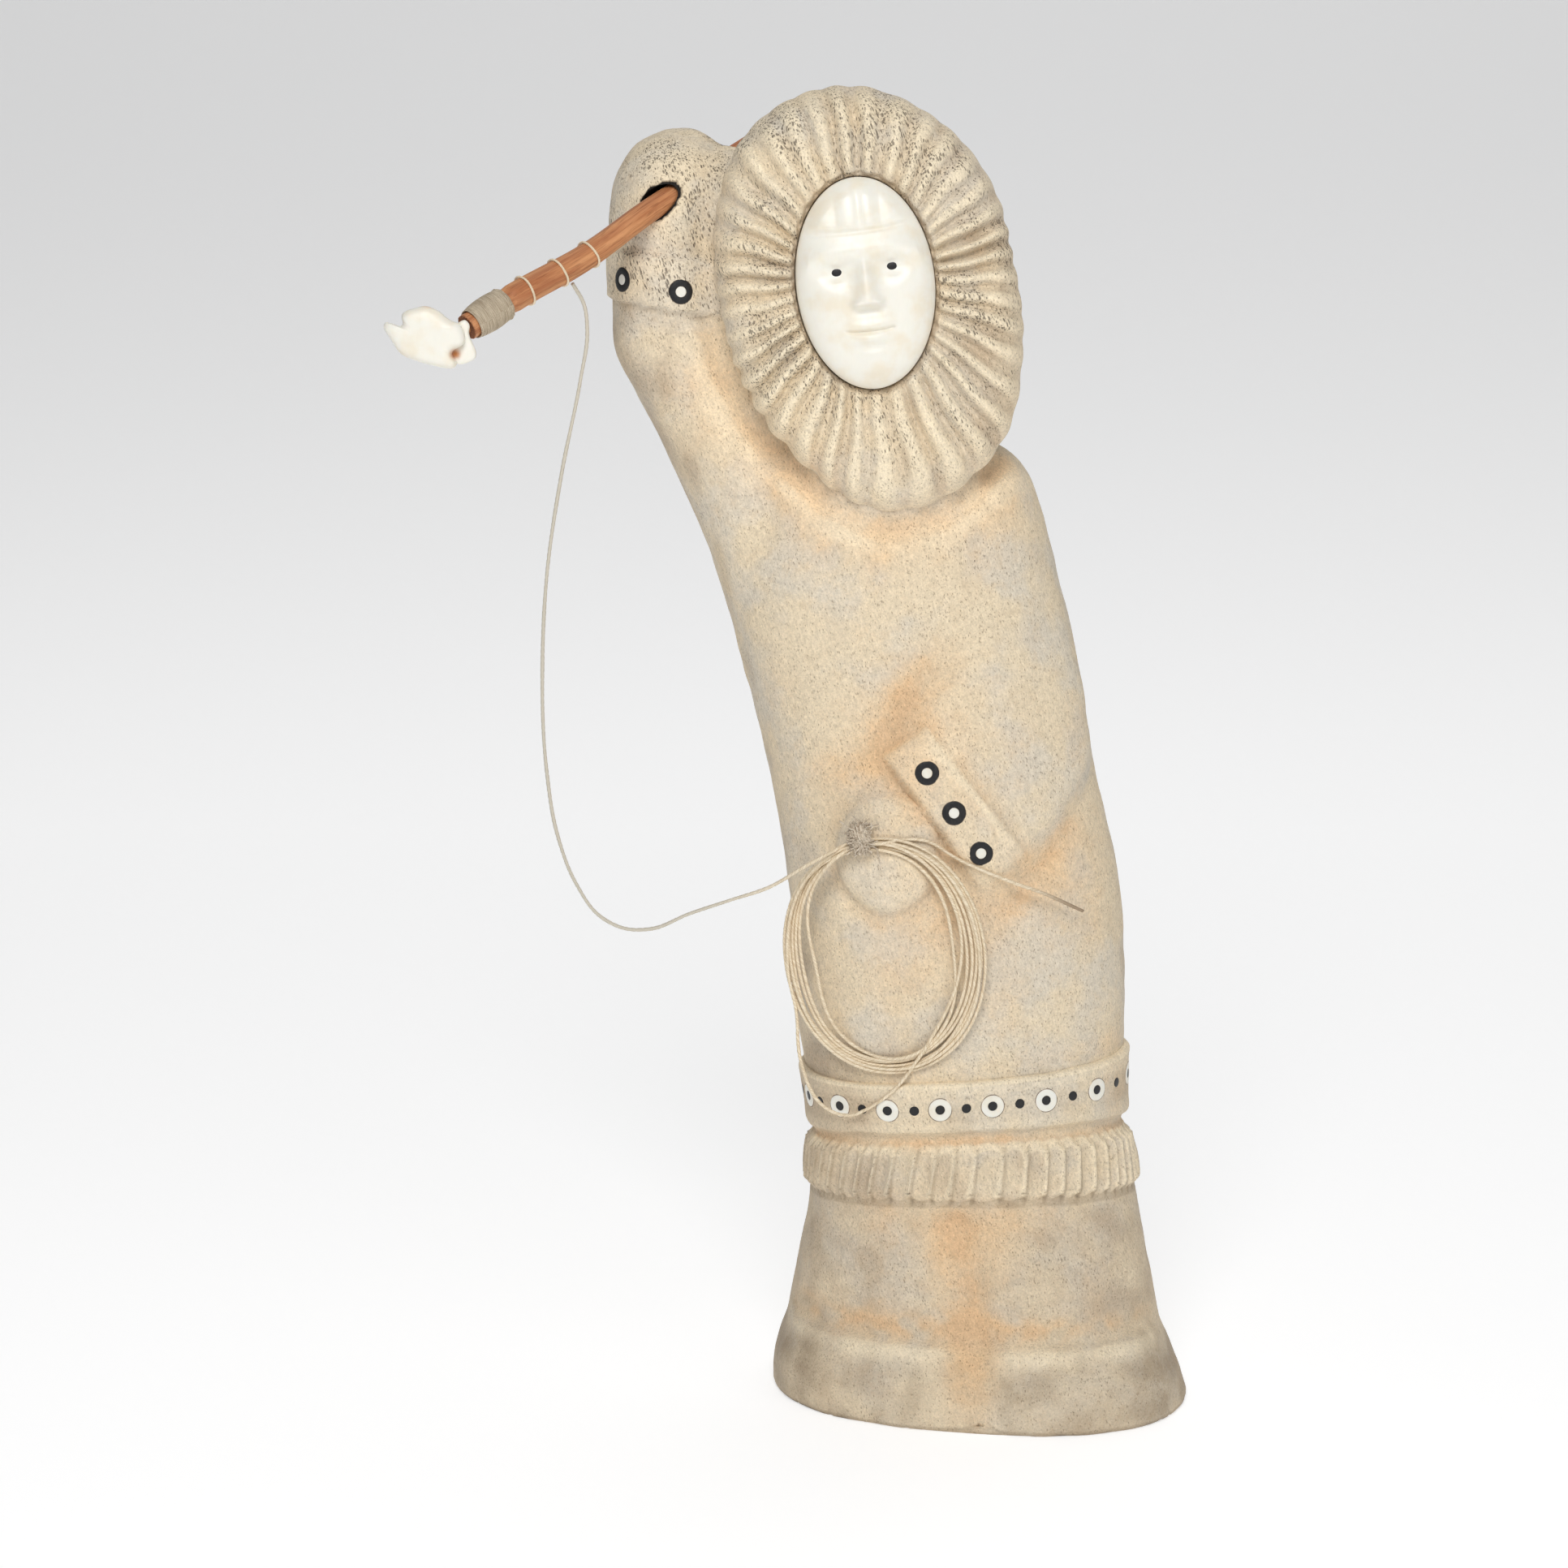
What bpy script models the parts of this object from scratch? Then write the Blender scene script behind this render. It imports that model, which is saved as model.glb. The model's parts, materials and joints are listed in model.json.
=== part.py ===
"""Fisherman in a fur-trimmed parka, carved in weathered whale bone.

The figure is one piece of bone. It has an ivory face with black peg eyes, studs of dark horn and ivory let
into the cuffs and the hem, and a wooden harpoon with an ivory head through the raised fist. A sinew line hangs
from the harpoon and ends in a coil tied to the lower hand.

Metres, +Z up. The figure faces -Y, and the origin is the middle of the underside.
"""

import math

import bmesh
import bpy
import numpy as np
from mathutils import Matrix, Vector
from mathutils.bvhtree import BVHTree

MM = 0.001

# The figure: its carving is given in steps of its height.
FIGURE_HEIGHT = 370 * MM
STEP = FIGURE_HEIGHT / 370
SQUARENESS = 2.3

# The trunk, bottom to top: height, middle, half width, front depth, back depth, turn in degrees.
TRUNK = (
    (0, 1.4, 60.2, 42, 36, -12),
    (10, 0.2, 58.4, 41, 35, -12),
    (22, -0.6, 54.0, 38.5, 33, -10),
    (40, -0.8, 50.4, 34.5, 31, -6),
    (55, -0.8, 47.4, 32.5, 30, 0),
    (68, -1.9, 45.8, 31.5, 29.5, 4),
    (82, -2.8, 44.5, 30.5, 29, 8),
    (98, -4.1, 45.4, 30.5, 29, 10),
    (112, -5.0, 46.9, 31.5, 29.5, 10),
    (127, -5.4, 47.2, 32.5, 30, 10),
    (155, -8.2, 46.9, 32, 30.5, 8),
    (183, -14.0, 45.9, 31, 31, 6),
    (211, -19.6, 46.9, 31, 32, 5),
    (238, -25.6, 46.2, 31, 32, 4),
    (256, -27.4, 43.0, 31, 31.5, 2),
    (266, -29.0, 40.4, 30, 31, 0),
    (273, -31.0, 34.0, 27, 29, 0),
    (278, -33.0, 20.0, 18, 20, 0),
)
# The raised arm and fist, bottom to top, in the same way.
RAISED_ARM = (
    (188, -34.0, 16, 16, 16, 0),
    (200, -39.0, 23, 22, 22, 0),
    (224, -45.6, 24.5, 24, 25, 0),
    (240, -50.8, 24.4, 24, 25, 0),
    (258, -59.2, 23, 23, 24, 0),
    (272, -66.9, 22, 22, 23, 0),
    (285, -73.4, 22, 21, 21, 0),
    (299, -80.2, 21.8, 20.5, 20, 0),
    (312, -82.0, 20.8, 20.5, 20, 0),
    (325, -83.0, 20.0, 21, 20, 0),
    (334, -83.8, 19.4, 22, 20.5, 0),
    (343, -84.0, 18.2, 21.8, 20, 0),
    (350, -84.3, 14.8, 19, 17, 0),
    (355, -84.2, 10.4, 13, 12, 0),
    (358.6, -83.8, 3.5, 5, 5, 0),
)

# The bone left standing between the fist and the hood: the middle and the half sizes of an oval ball.
FIST_WEB = (-71.0, -3.0, 338.0)
FIST_WEB_HALF = (13.0, 15.0, 14.0)

# The head: where the middle of the face is, and how far it leans to the left.
HEAD = (-33.9, 317.0)
HEAD_LEAN = math.radians(7)
# The ruff's outline: distance from the middle of the face, clockwise from the top in equal turns.
RUFF_OUTLINE = (53.0, 48.0, 43.4, 41.0, 46.8, 58.4, 62.0, 50.2, 42.4, 39.8, 44.0, 51.4)
RUFF_FRONT = 36.5
RUFF_FALL_TOP = 11.0
RUFF_FALL_BOTTOM = 3.5
RUFF_SWELL = 2.2
RUFF_EDGE = 9.0
RUFF_FLUTES = 38
FLUTE_DEPTH = 1.5
HOOD_BACK = 29.0
HOOD_SHARE = 0.93

# Bands round the figure: lower edge, upper edge and lift of each edge to the right and at the front.
HEM_PROUD = 2.0
HEM_LOW = (80.2, 0.8, 3.4)
HEM_HIGH = (100.4, 2.3, -0.6)
FRINGE_PROUD = 2.4
FRINGE_LOW = (62.4, 0.2, 3.0)
FRINGE_HIGH = (76.6, 0.6, 2.6)
FRINGE_FLUTES = 40
FRINGE_FLUTE_DEPTH = 0.9
CUFF_PROUD = 1.3
CUFF_LOW = (309.8, -3.2, -0.6)
CUFF_HIGH = (323.0, -2.6, 0.5)

# The lower sleeve, cuff and mitten, seen from the front.
ELBOW_CREASE = ((30, 185), (8, 158))
ARM_FORK = ((-7, 217), (-20, 197))
SLEEVE_PROUD = 3.6
LOWER_CUFF = (-8.3, 174.8)
LOWER_CUFF_LENGTH = 48.0
LOWER_CUFF_WIDTH = 14.4
LOWER_CUFF_PROUD = 1.4
FOREARM_RISE = math.radians(37)
MITTEN = (-27.0, 163.0)
MITTEN_HALF = (14.0, 17.0)
MITTEN_PROUD = 5.6

# Inlaid pieces.
INLAY_GAP = 0.25 * MM
INLAY_PROUD = 0.2 * MM
INLAY_DEPTH = 3.2 * MM
STUD_DIAMETER = 6.4 * MM
STUD_EYE_DIAMETER = 2.9 * MM
HEM_STUD_DIAMETER = 6.4 * MM
HEM_STUD_EYE_DIAMETER = 2.7 * MM
HEM_DOT_DIAMETER = 2.7 * MM
HEM_STUDS_EACH_SIDE = 4
HEM_STUD_SPACING = 15.6 * MM
HEM_STUD_SPREAD = 0.35 * MM
HEM_STUD_START = -13.3 * STEP
HEM_ROW = (92.4, 2.2, -0.6)
LOWER_CUFF_STUDS = 3
LOWER_CUFF_STUD_SPACING = 13.9 * MM
LOWER_CUFF_STUD_DRIFT = 0.9 * MM
RAISED_CUFF_STUD_TURNS = (math.radians(-138), math.radians(-92))
RAISED_CUFF_ROW = (314.3, -4.6, 0.0)

# The ivory face.
FACE_HALF_WIDTH = 18.3 * MM
FACE_HALF_HEIGHT = 27.8 * MM
FACE_SETBACK = 4.5 * MM
FACE_THICKNESS = 10.5 * MM
EYE_DIAMETER = 2.9 * MM
EYE_DEPTH = 2.5 * MM
EYE_SPREAD = 14.4 * MM
EYE_RISE = 3.6 * MM

# The harpoon: where its axis leaves the fist, and the way it points.
FIST_HOLE = (-88.9, -20.8, 338.4)
HARPOON_AIM = (-48.5, -39.5, -31.9)
BORE_DIAMETER = 8.2 * MM
SHAFT_FRONT_LENGTH = 70.0 * MM
SHAFT_REAR_LENGTH = 42.0 * MM
SHAFT_FRONT_DIAMETER = 7.7 * MM
SHAFT_TENON_DIAMETER = 7.0 * MM
SHAFT_TENON_LENGTH = 14.0 * MM
SHAFT_HAND_DIAMETER = 6.4 * MM
SHAFT_REAR_DIAMETER = 5.8 * MM
SHAFT_BOW = 1.3 * MM
SHAFT_DROP = 0.55 * MM
BAND_DIAMETER = 0.7 * MM
BAND_PLACES = (27.0 * MM, 38.0 * MM, 49.5 * MM)
LASHING_LENGTH = 11.5 * MM
LASHING_THICKNESS = 0.8 * MM
LASHING_SETBACK = 1.6 * MM
FORESHAFT_DIAMETER = 3.0 * MM
FORESHAFT_LENGTH = 9.0 * MM
# The harpoon head's leaf and its side fin: outlines across and up from the middle of the shaft's end.
HEAD_LEAF = (
    (-20.4, 1.5),
    (-18.4, 1.0),
    (-15.8, 0.6),
    (-15.9, 3.5),
    (-14.7, 4.4),
    (-12.4, 5.1),
    (-10.1, 5.6),
    (-7.0, 4.6),
    (-3.7, 2.1),
    (-1.2, 0.9),
    (0.0, -1.4),
    (-0.1, -3.8),
    (-2.6, -5.5),
    (-3.4, -6.3),
    (-2.6, -7.8),
    (-2.2, -9.9),
    (-5.8, -10.0),
    (-9.3, -9.2),
    (-12.6, -8.2),
    (-16.0, -6.7),
    (-18.6, -3.2),
)
HEAD_FIN = (
    (-4.4, -0.8),
    (-1.6, 1.4),
    (0.0, 2.0),
    (1.2, 0.9),
    (1.0, -1.0),
    (2.8, -7.2),
    (2.2, -8.1),
    (-2.2, -9.1),
    (-4.6, -6.2),
)
LEAF_FRONT = 8.9 * MM
LEAF_BACK = 3.6 * MM
FIN_FRONT = 5.6 * MM
FIN_BACK = 3.2 * MM

# The sinew line.
LINE_DIAMETER = 1.0 * MM
TOUCH_GAP = 0.3 * MM
LINE_PLACE = 33.0 * MM
LINE_POINTS = 60
TAIL_POINTS = 15
COIL_CENTRE = (-28.2, 134.4)
COIL_HALF = (25.2, 32.6)
COIL_LEAN = math.radians(9.5)
COIL_BUNDLE = 3.6 * MM
COIL_TURN = math.radians(14)
COIL_POINTS = 28
KNOT_LENGTH = 5.4 * MM
KNOT_THICKNESS = 1.5 * MM
# The hanging line from under the shaft to the knot: across, depth and height.
LINE_ROUTE = (
    (-108.2, -34.8, 311.0),
    (-107.5, -35.6, 304.0),
    (-109.3, -37.0, 292.0),
    (-114.5, -39.0, 267.0),
    (-118.5, -41.0, 241.0),
    (-119.9, -42.5, 218.0),
    (-119.1, -43.5, 188.0),
    (-116.5, -44.0, 171.0),
    (-111.3, -44.2, 156.8),
    (-105.4, -44.2, 148.4),
    (-98.4, -44.0, 144.7),
    (-90.9, -43.6, 144.6),
    (-81.4, -43.0, 148.4),
    (-69.9, -42.4, 152.2),
    (-59.5, -41.8, 155.6),
    (-49.5, -41.4, 161.4),
    (-43.0, -41.2, 165.6),
)
# The line's short end from the knot across the sleeve.
TAIL_ROUTE = (
    (-24.0, -41.2, 169.6),
    (-16.0, -41.2, 167.0),
    (-9.6, -41.0, 163.0),
    (-3.4, -41.0, 160.0),
    (6.0, -40.0, 155.8),
    (16.0, -38.0, 151.0),
    (26.8, -34.0, 146.2),
)

COLUMN_TURNS = 64
ROW_RISE = 3 * STEP
TRUNK_VOXEL = 2.2 * MM
TRUNK_TRIANGLES = 1300
SMOOTHING_ROUNDS = 6

MATERIALS = {
    "bone": ((0.60, 0.49, 0.35), 0.82),
    "ivory": ((0.88, 0.85, 0.76), 0.32),
    "horn": ((0.03, 0.03, 0.032), 0.45),
    "wood": ((0.42, 0.19, 0.09), 0.55),
    "sinew": ((0.52, 0.45, 0.34), 0.7),
}


def clear_scene():
    """Empties the scene, and makes a collection for the figure and one for its cutters."""
    for thing in list(bpy.data.objects):
        bpy.data.objects.remove(thing)
    made = []
    for name in ("fisherman_carving", "cutters"):
        collection = bpy.data.collections.new(name)
        bpy.context.scene.collection.children.link(collection)
        made.append(collection)
    return made


def make_material(name):
    """A plain finish of one of the figure's materials."""
    colour, roughness = MATERIALS[name]
    material = bpy.data.materials.get(name) or bpy.data.materials.new(name)
    material.use_nodes = True
    shader = material.node_tree.nodes["Principled BSDF"]
    shader.inputs["Base Color"].default_value = (*colour, 1)
    shader.inputs["Roughness"].default_value = roughness
    shader.inputs["Metallic"].default_value = 0
    return material


def add_object(name, data, collection, material=None):
    """Puts a mesh or a curve in the scene under its name."""
    thing = bpy.data.objects.new(name, data)
    collection.objects.link(thing)
    if material:
        data.materials.append(make_material(material))
    return thing


def shade(thing):
    """Shades a mesh smooth, with its corners sharp."""
    thing.data.shade_smooth()
    thing.data.set_sharp_from_angle(angle=math.radians(35))


def settle(thing):
    """Replaces an object's mesh by what its modifiers make of it."""
    bpy.context.view_layer.update()
    graph = bpy.context.evaluated_depsgraph_get()
    made = bpy.data.meshes.new_from_object(thing.evaluated_get(graph))
    thing.modifiers.clear()
    thing.data = made


def join_into(main, other, operation, solver="EXACT"):
    """Joins another object to the main one, or cuts it away, for good."""
    modifier = main.modifiers.new(operation.lower(), "BOOLEAN")
    modifier.operation = operation
    modifier.object = other
    modifier.solver = solver
    settle(main)


def through(knots, values, at, around=None):
    """Values of a smooth curve through the knots. With around, the knots repeat after that much."""
    knots, values = np.asarray(knots, float), np.asarray(values, float)
    if around is not None:
        knots = np.concatenate([knots[-2:] - around, knots, knots[:3] + around])
        values = np.concatenate([values[-2:], values, values[:3]])
        at = np.mod(at, around)
    slopes = np.gradient(values, knots, axis=0)
    at = np.clip(at, knots[0], knots[-1])
    i = np.clip(np.searchsorted(knots, at, side="right") - 1, 0, len(knots) - 2)
    gap = knots[i + 1] - knots[i]
    t = (at - knots[i]) / gap
    if values.ndim > 1:
        gap, t = gap[..., None], t[..., None]
    low, high = values[i], values[i + 1]
    rise, fall = slopes[i] * gap, slopes[i + 1] * gap
    return (
        low * (2 * t**3 - 3 * t**2 + 1)
        + rise * (t**3 - 2 * t**2 + t)
        + high * (3 * t**2 - 2 * t**3)
        + fall * (t**3 - t**2)
    )


def smooth_step(low, high, value):
    """0 below low, 1 above high, and a smooth rise between."""
    t = np.clip((value - low) / (high - low), 0, 1)
    return t * t * (3 - 2 * t)


def mound(distance, width):
    """A round hump, 1 in the middle and fading over the width."""
    return np.exp(-((distance / width) ** 2))


def girth(stations, height, turn, proud=0.0):
    """Points round a column at each height and turn: a squared oval, deeper at the front or the back."""
    table = np.array(stations, float)
    columns = through(table[:, 0] * STEP, table[:, 1:], height)
    middle, half = columns[..., 0] * STEP, columns[..., 1] * STEP + proud
    front, back = columns[..., 2] * STEP + proud, columns[..., 3] * STEP + proud
    swing = np.radians(columns[..., 4])
    power = 2 / SQUARENESS
    across = half * np.sign(np.cos(turn)) * np.abs(np.cos(turn)) ** power
    depth = np.where(np.sin(turn) < 0, front, back)
    along = depth * np.sign(np.sin(turn)) * np.abs(np.sin(turn)) ** power
    x = middle + across * np.cos(swing) - along * np.sin(swing)
    y = across * np.sin(swing) + along * np.cos(swing)
    return np.stack([x, y, np.broadcast_to(height, x.shape)], axis=-1)


def skin(rows, closed_rows=False):
    """A mesh over a grid of points: each row is a closed loop, and the end rows are capped or joined."""
    count, around = rows.shape[:2]
    faces = []
    for r in range(count if closed_rows else count - 1):
        above = (r + 1) % count
        for c in range(around):
            beside = (c + 1) % around
            faces.append(
                (r * around + c, r * around + beside, above * around + beside, above * around + c)
            )
    if not closed_rows:
        faces.append(tuple(reversed(range(around))))
        faces.append(tuple(range((count - 1) * around, count * around)))
    mesh = bpy.data.meshes.new("skin")
    mesh.from_pydata(rows.reshape(-1, 3).tolist(), [], faces)
    shape = bmesh.new()
    shape.from_mesh(mesh)
    bmesh.ops.recalc_face_normals(shape, faces=shape.faces)
    shape.to_mesh(mesh)
    shape.free()
    return mesh


def column_rows(stations):
    """The rows of a whole column, bottom to top."""
    low, high = stations[0][0] * STEP, stations[-1][0] * STEP
    heights = np.linspace(low, high, max(4, round((high - low) / ROW_RISE)))
    turns = np.linspace(-math.pi, math.pi, COLUMN_TURNS, endpoint=False)
    return girth(stations, heights[:, None], turns[None, :])


def web_rows():
    """The rows of the oval ball of bone between the fist and the hood, bottom to top."""
    turns = np.linspace(-math.pi, math.pi, COLUMN_TURNS, endpoint=False)
    laps = np.linspace(-0.49, 0.49, 14)[:, None] * math.pi
    shape = (np.cos(laps) * np.cos(turns), np.cos(laps) * np.sin(turns), np.sin(laps) + 0 * turns)
    return (np.array(FIST_WEB) + np.stack(shape, axis=-1) * FIST_WEB_HALF) * STEP


def edge_height(edge, turn):
    """The height of a band's edge at a turn: its middle height, and its lift to the right and at the front."""
    middle, right, front = edge
    return (middle + right * np.cos(turn) + front * np.maximum(0, -np.sin(turn))) * STEP


def band_rows(stations, low_edge, high_edge, proud, sink, turns, depth_at=None):
    """The rows of a closed band round a column: out of the surface, up, and back into it."""
    low, high = edge_height(low_edge, turns), edge_height(high_edge, turns)
    rounding = 0.12 * (high - low)
    out = proud - (0 if depth_at is None else depth_at)
    rows = [
        girth(stations, low - rounding, turns, -sink),
        girth(stations, low + rounding, turns, out),
        girth(stations, high - rounding, turns, out),
        girth(stations, high + rounding, turns, -sink),
    ]
    return np.array(rows)


def head_frame(across, up, depth):
    """A point given across, up and in front of the middle of the face, in the figure's own frame."""
    cos, sin = math.cos(HEAD_LEAN), math.sin(HEAD_LEAN)
    x = HEAD[0] * STEP + across * cos - up * sin
    z = HEAD[1] * STEP + across * sin + up * cos
    return np.stack([x, -depth, z], axis=-1)


def head_polar(x, z):
    """The distance and the clockwise turn of a point from the middle of the face."""
    cos, sin = math.cos(HEAD_LEAN), math.sin(HEAD_LEAN)
    dx, dz = x - HEAD[0] * STEP, z - HEAD[1] * STEP
    across, up = dx * cos + dz * sin, dz * cos - dx * sin
    return np.hypot(across, up), np.arctan2(across, up)


def ruff_reach(turn):
    """The distance from the middle of the face to the ruff's edge."""
    knots = np.arange(len(RUFF_OUTLINE)) * math.tau / len(RUFF_OUTLINE)
    return through(knots, RUFF_OUTLINE, turn, around=math.tau) * STEP


def face_reach(turn, gap=0.0):
    """The distance from the middle of the face to the edge of the oval plate."""
    wide, high = FACE_HALF_WIDTH + gap, FACE_HALF_HEIGHT + gap
    return 1 / np.hypot(np.sin(turn) / wide, np.cos(turn) / high)


def ruff_rows():
    """The rows of the fluted ruff: recess floor, recess wall, flutes, rolled edge and hidden back."""
    turns = np.arange(RUFF_FLUTES * 2) * math.tau / (RUFF_FLUTES * 2)
    ridge = np.where(np.arange(len(turns)) % 2 == 0, 0.0, 1.0) * FLUTE_DEPTH * STEP
    inner, outer = face_reach(turns, INLAY_GAP), ruff_reach(turns)
    low = 0.5 - 0.5 * np.cos(turns)
    fall = (RUFF_FALL_TOP + (RUFF_FALL_BOTTOM - RUFF_FALL_TOP) * low) * STEP
    front = RUFF_FRONT * STEP
    floor = front - FACE_SETBACK
    rows = [(inner, floor + 0 * turns)]
    for share in (0.0, 0.12, 0.5, 0.88):
        reach = inner + (outer - inner) * share
        swell = RUFF_SWELL * STEP * math.sin(math.pi * share**0.7)
        groove = ridge * (0.3 if share == 0 else 1.0)
        rows.append((reach, front + swell - fall * share**2.2 - groove))
    edge = RUFF_EDGE * STEP
    rows.append((outer - 0.9 * ridge, front - fall - 0.4 * edge))
    rows.append((0.92 * outer, front - fall - edge))
    rows.append((0.5 * outer, 0 * turns + front - RUFF_FALL_TOP * STEP - edge))
    return np.array([head_frame(r * np.sin(turns), r * np.cos(turns), d) for r, d in rows])


def hood_rows():
    """The rows of the round hood behind the ruff, front to back."""
    turns = np.linspace(0, math.tau, COLUMN_TURNS, endpoint=False)
    outer = HOOD_SHARE * ruff_reach(turns)
    low = 0.5 - 0.5 * np.cos(turns)
    start = (RUFF_FRONT - RUFF_FALL_TOP * (1 - low) - RUFF_FALL_BOTTOM * low - 6) * STEP
    rows = [head_frame(0.5 * outer * np.sin(turns), 0.5 * outer * np.cos(turns), 0 * turns + start.min())]
    for lap in np.linspace(0, 0.5 * math.pi, 14):
        reach = outer * max(0.02, math.cos(lap)) ** 0.75
        depth = start - (start + HOOD_BACK * STEP) * math.sin(lap)
        rows.append(head_frame(reach * np.sin(turns), reach * np.cos(turns), depth))
    return np.array(rows)


def side_of(line, x, z):
    """The distance of points from a line of two points, positive on its left."""
    (x0, z0), (x1, z1) = line
    long = math.hypot(x1 - x0, z1 - z0)
    return ((x - x0 * STEP) * (z0 - z1) + (z - z0 * STEP) * (x1 - x0)) / long


def cuff_frame(x, z):
    """Places along the lower cuff and across it, towards the elbow, from its middle."""
    cos, sin = math.cos(FOREARM_RISE), math.sin(FOREARM_RISE)
    dx, dz = x - LOWER_CUFF[0] * STEP, z - LOWER_CUFF[1] * STEP
    return dx * sin - dz * cos, dx * cos + dz * sin


def boots_relief(x, z, front, back):
    """The groove between the boots, and the crease above each foot."""
    seam = (-2.3 - 0.075 * z / STEP) * STEP
    below = 1 - smooth_step(58 * STEP, 65 * STEP, z)
    groove = -4.4 * mound(x - seam, 6.6 * STEP) * below
    beside = 1 - mound(x - seam, 10 * STEP)
    crease = -2.3 * mound(z - 27 * STEP, 4.2 * STEP) * beside
    calf = 1.0 * mound(z - 45 * STEP, 11 * STEP) * beside
    toe = 1.4 * mound(z - 14 * STEP, 8 * STEP) * beside
    return (groove + crease + calf + toe) * (front + 0.6 * back) * STEP


def sleeve_relief(x, z, front):
    """The forearm across the belly, its cuff and the mitten."""
    elbow = side_of(ELBOW_CREASE, x, z) * -1
    fork = side_of(ARM_FORK, x, z)
    along, across = cuff_frame(x, z)
    wrist = across + 0.5 * LOWER_CUFF_WIDTH * STEP
    fade = 1 - smooth_step(204 * STEP, 236 * STEP, z)
    sleeve = smooth_step(-3.5 * STEP, 3 * STEP, elbow) * smooth_step(-4.5 * STEP, 4 * STEP, fork)
    sleeve = sleeve * smooth_step(-0.8 * STEP, 1.2 * STEP, wrist) * fade
    hollow = mound(fork + 7 * STEP, 6 * STEP) * mound(z - 203 * STEP, 18 * STEP)
    armpit = mound(elbow + 5.5 * STEP, 5 * STEP) * mound(x - 17 * STEP, 14 * STEP)
    cuff = smooth_step(-0.9 * STEP, 0.9 * STEP, 0.5 * LOWER_CUFF_LENGTH * STEP - np.abs(along))
    cuff = cuff * smooth_step(-0.8 * STEP, 0.8 * STEP, 0.5 * LOWER_CUFF_WIDTH * STEP - np.abs(across))
    dx, dz = (x - MITTEN[0] * STEP), (z - MITTEN[1] * STEP)
    oval = 1 - (dx / (MITTEN_HALF[0] * STEP)) ** 2 - (dz / (MITTEN_HALF[1] * STEP)) ** 2
    mitten = np.sqrt(np.clip(oval, 0, 1)) * (1 - smooth_step(0, 3 * STEP, wrist))
    moat = mound(np.sqrt(np.clip(1 - oval, 0, 9)) - 1.12, 0.16) * (1 - smooth_step(-3 * STEP, 0, wrist))
    lift = SLEEVE_PROUD * sleeve + LOWER_CUFF_PROUD * cuff + MITTEN_PROUD * mitten
    return (lift - 2.4 * hollow - 2.0 * armpit - 0.9 * moat) * front * STEP


def moat_relief(x, z, front):
    """The hollow cut round the ruff, so that its edge stands out."""
    far, turn = head_polar(x, z)
    outside = far - ruff_reach(turn)
    return -2.6 * mound(outside - 2.5 * STEP, 4.5 * STEP) * front * STEP


def carve(thing):
    """Moves the trunk's surface in and out to make its low relief."""
    count = len(thing.data.vertices)
    points, normals = np.empty(count * 3), np.empty(count * 3)
    thing.data.vertices.foreach_get("co", points)
    thing.data.vertices.foreach_get("normal", normals)
    points, normals = points.reshape(-1, 3), normals.reshape(-1, 3)
    x, z = points[:, 0], points[:, 2]
    front, back = (smooth_step(0.1, 0.65, sign * normals[:, 1]) for sign in (-1, 1))
    lift = boots_relief(x, z, front, back) + sleeve_relief(x, z, front) + moat_relief(x, z, front)
    points = points + normals * lift[:, None]
    thing.data.vertices.foreach_set("co", points.ravel())
    thing.data.update()


def make_trunk(collection):
    """The trunk, the raised arm and the hood, grown together and smoothed, with the low relief carved in."""
    trunk = add_object("fisherman_figure", skin(column_rows(TRUNK)), collection, "bone")
    shells = bmesh.new()
    for rows in (column_rows(TRUNK), column_rows(RAISED_ARM), web_rows(), hood_rows()):
        piece = skin(rows)
        shells.from_mesh(piece)
        bpy.data.meshes.remove(piece)
    shells.to_mesh(trunk.data)
    shells.free()
    grow = trunk.modifiers.new("grow_together", "REMESH")
    grow.mode = "VOXEL"
    grow.voxel_size = TRUNK_VOXEL
    smooth = trunk.modifiers.new("smooth", "SMOOTH")
    smooth.factor = 0.5
    smooth.iterations = SMOOTHING_ROUNDS
    settle(trunk)
    carve(trunk)
    thin = trunk.modifiers.new("fewer_faces", "DECIMATE")
    triangles = sum(len(face.vertices) - 2 for face in trunk.data.polygons)
    thin.ratio = TRUNK_TRIANGLES / triangles
    settle(trunk)
    return trunk


def add_bands(trunk, cutters):
    """Joins the ruff, the hem, the fringe and the raised cuff to the trunk."""
    around = np.linspace(-math.pi, math.pi, 36, endpoint=False)
    fluted = np.linspace(-math.pi, math.pi, FRINGE_FLUTES * 2, endpoint=False)
    ridge = np.where(np.arange(len(fluted)) % 2 == 0, 0.0, 1.0) * FRINGE_FLUTE_DEPTH * STEP
    arm = np.linspace(-math.pi, math.pi, 20, endpoint=False)
    sink = 5 * STEP
    shapes = {
        "ruff": skin(ruff_rows()),
        "hem": skin(band_rows(TRUNK, HEM_LOW, HEM_HIGH, HEM_PROUD * STEP, sink, around), True),
        "fringe": skin(
            band_rows(TRUNK, FRINGE_LOW, FRINGE_HIGH, FRINGE_PROUD * STEP, sink, fluted, ridge), True
        ),
        "raised_cuff": skin(
            band_rows(RAISED_ARM, CUFF_LOW, CUFF_HIGH, CUFF_PROUD * STEP, sink, arm), True
        ),
    }
    for name, mesh in shapes.items():
        shape = add_object("shape_" + name, mesh, cutters)
        hide_helper(shape)
        join_into(trunk, shape, "UNION")


def hide_helper(thing):
    """Marks an object as a cutter or a helper, which is no part of the figure."""
    thing.hide_render = True
    thing.display_type = "WIRE"


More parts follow.
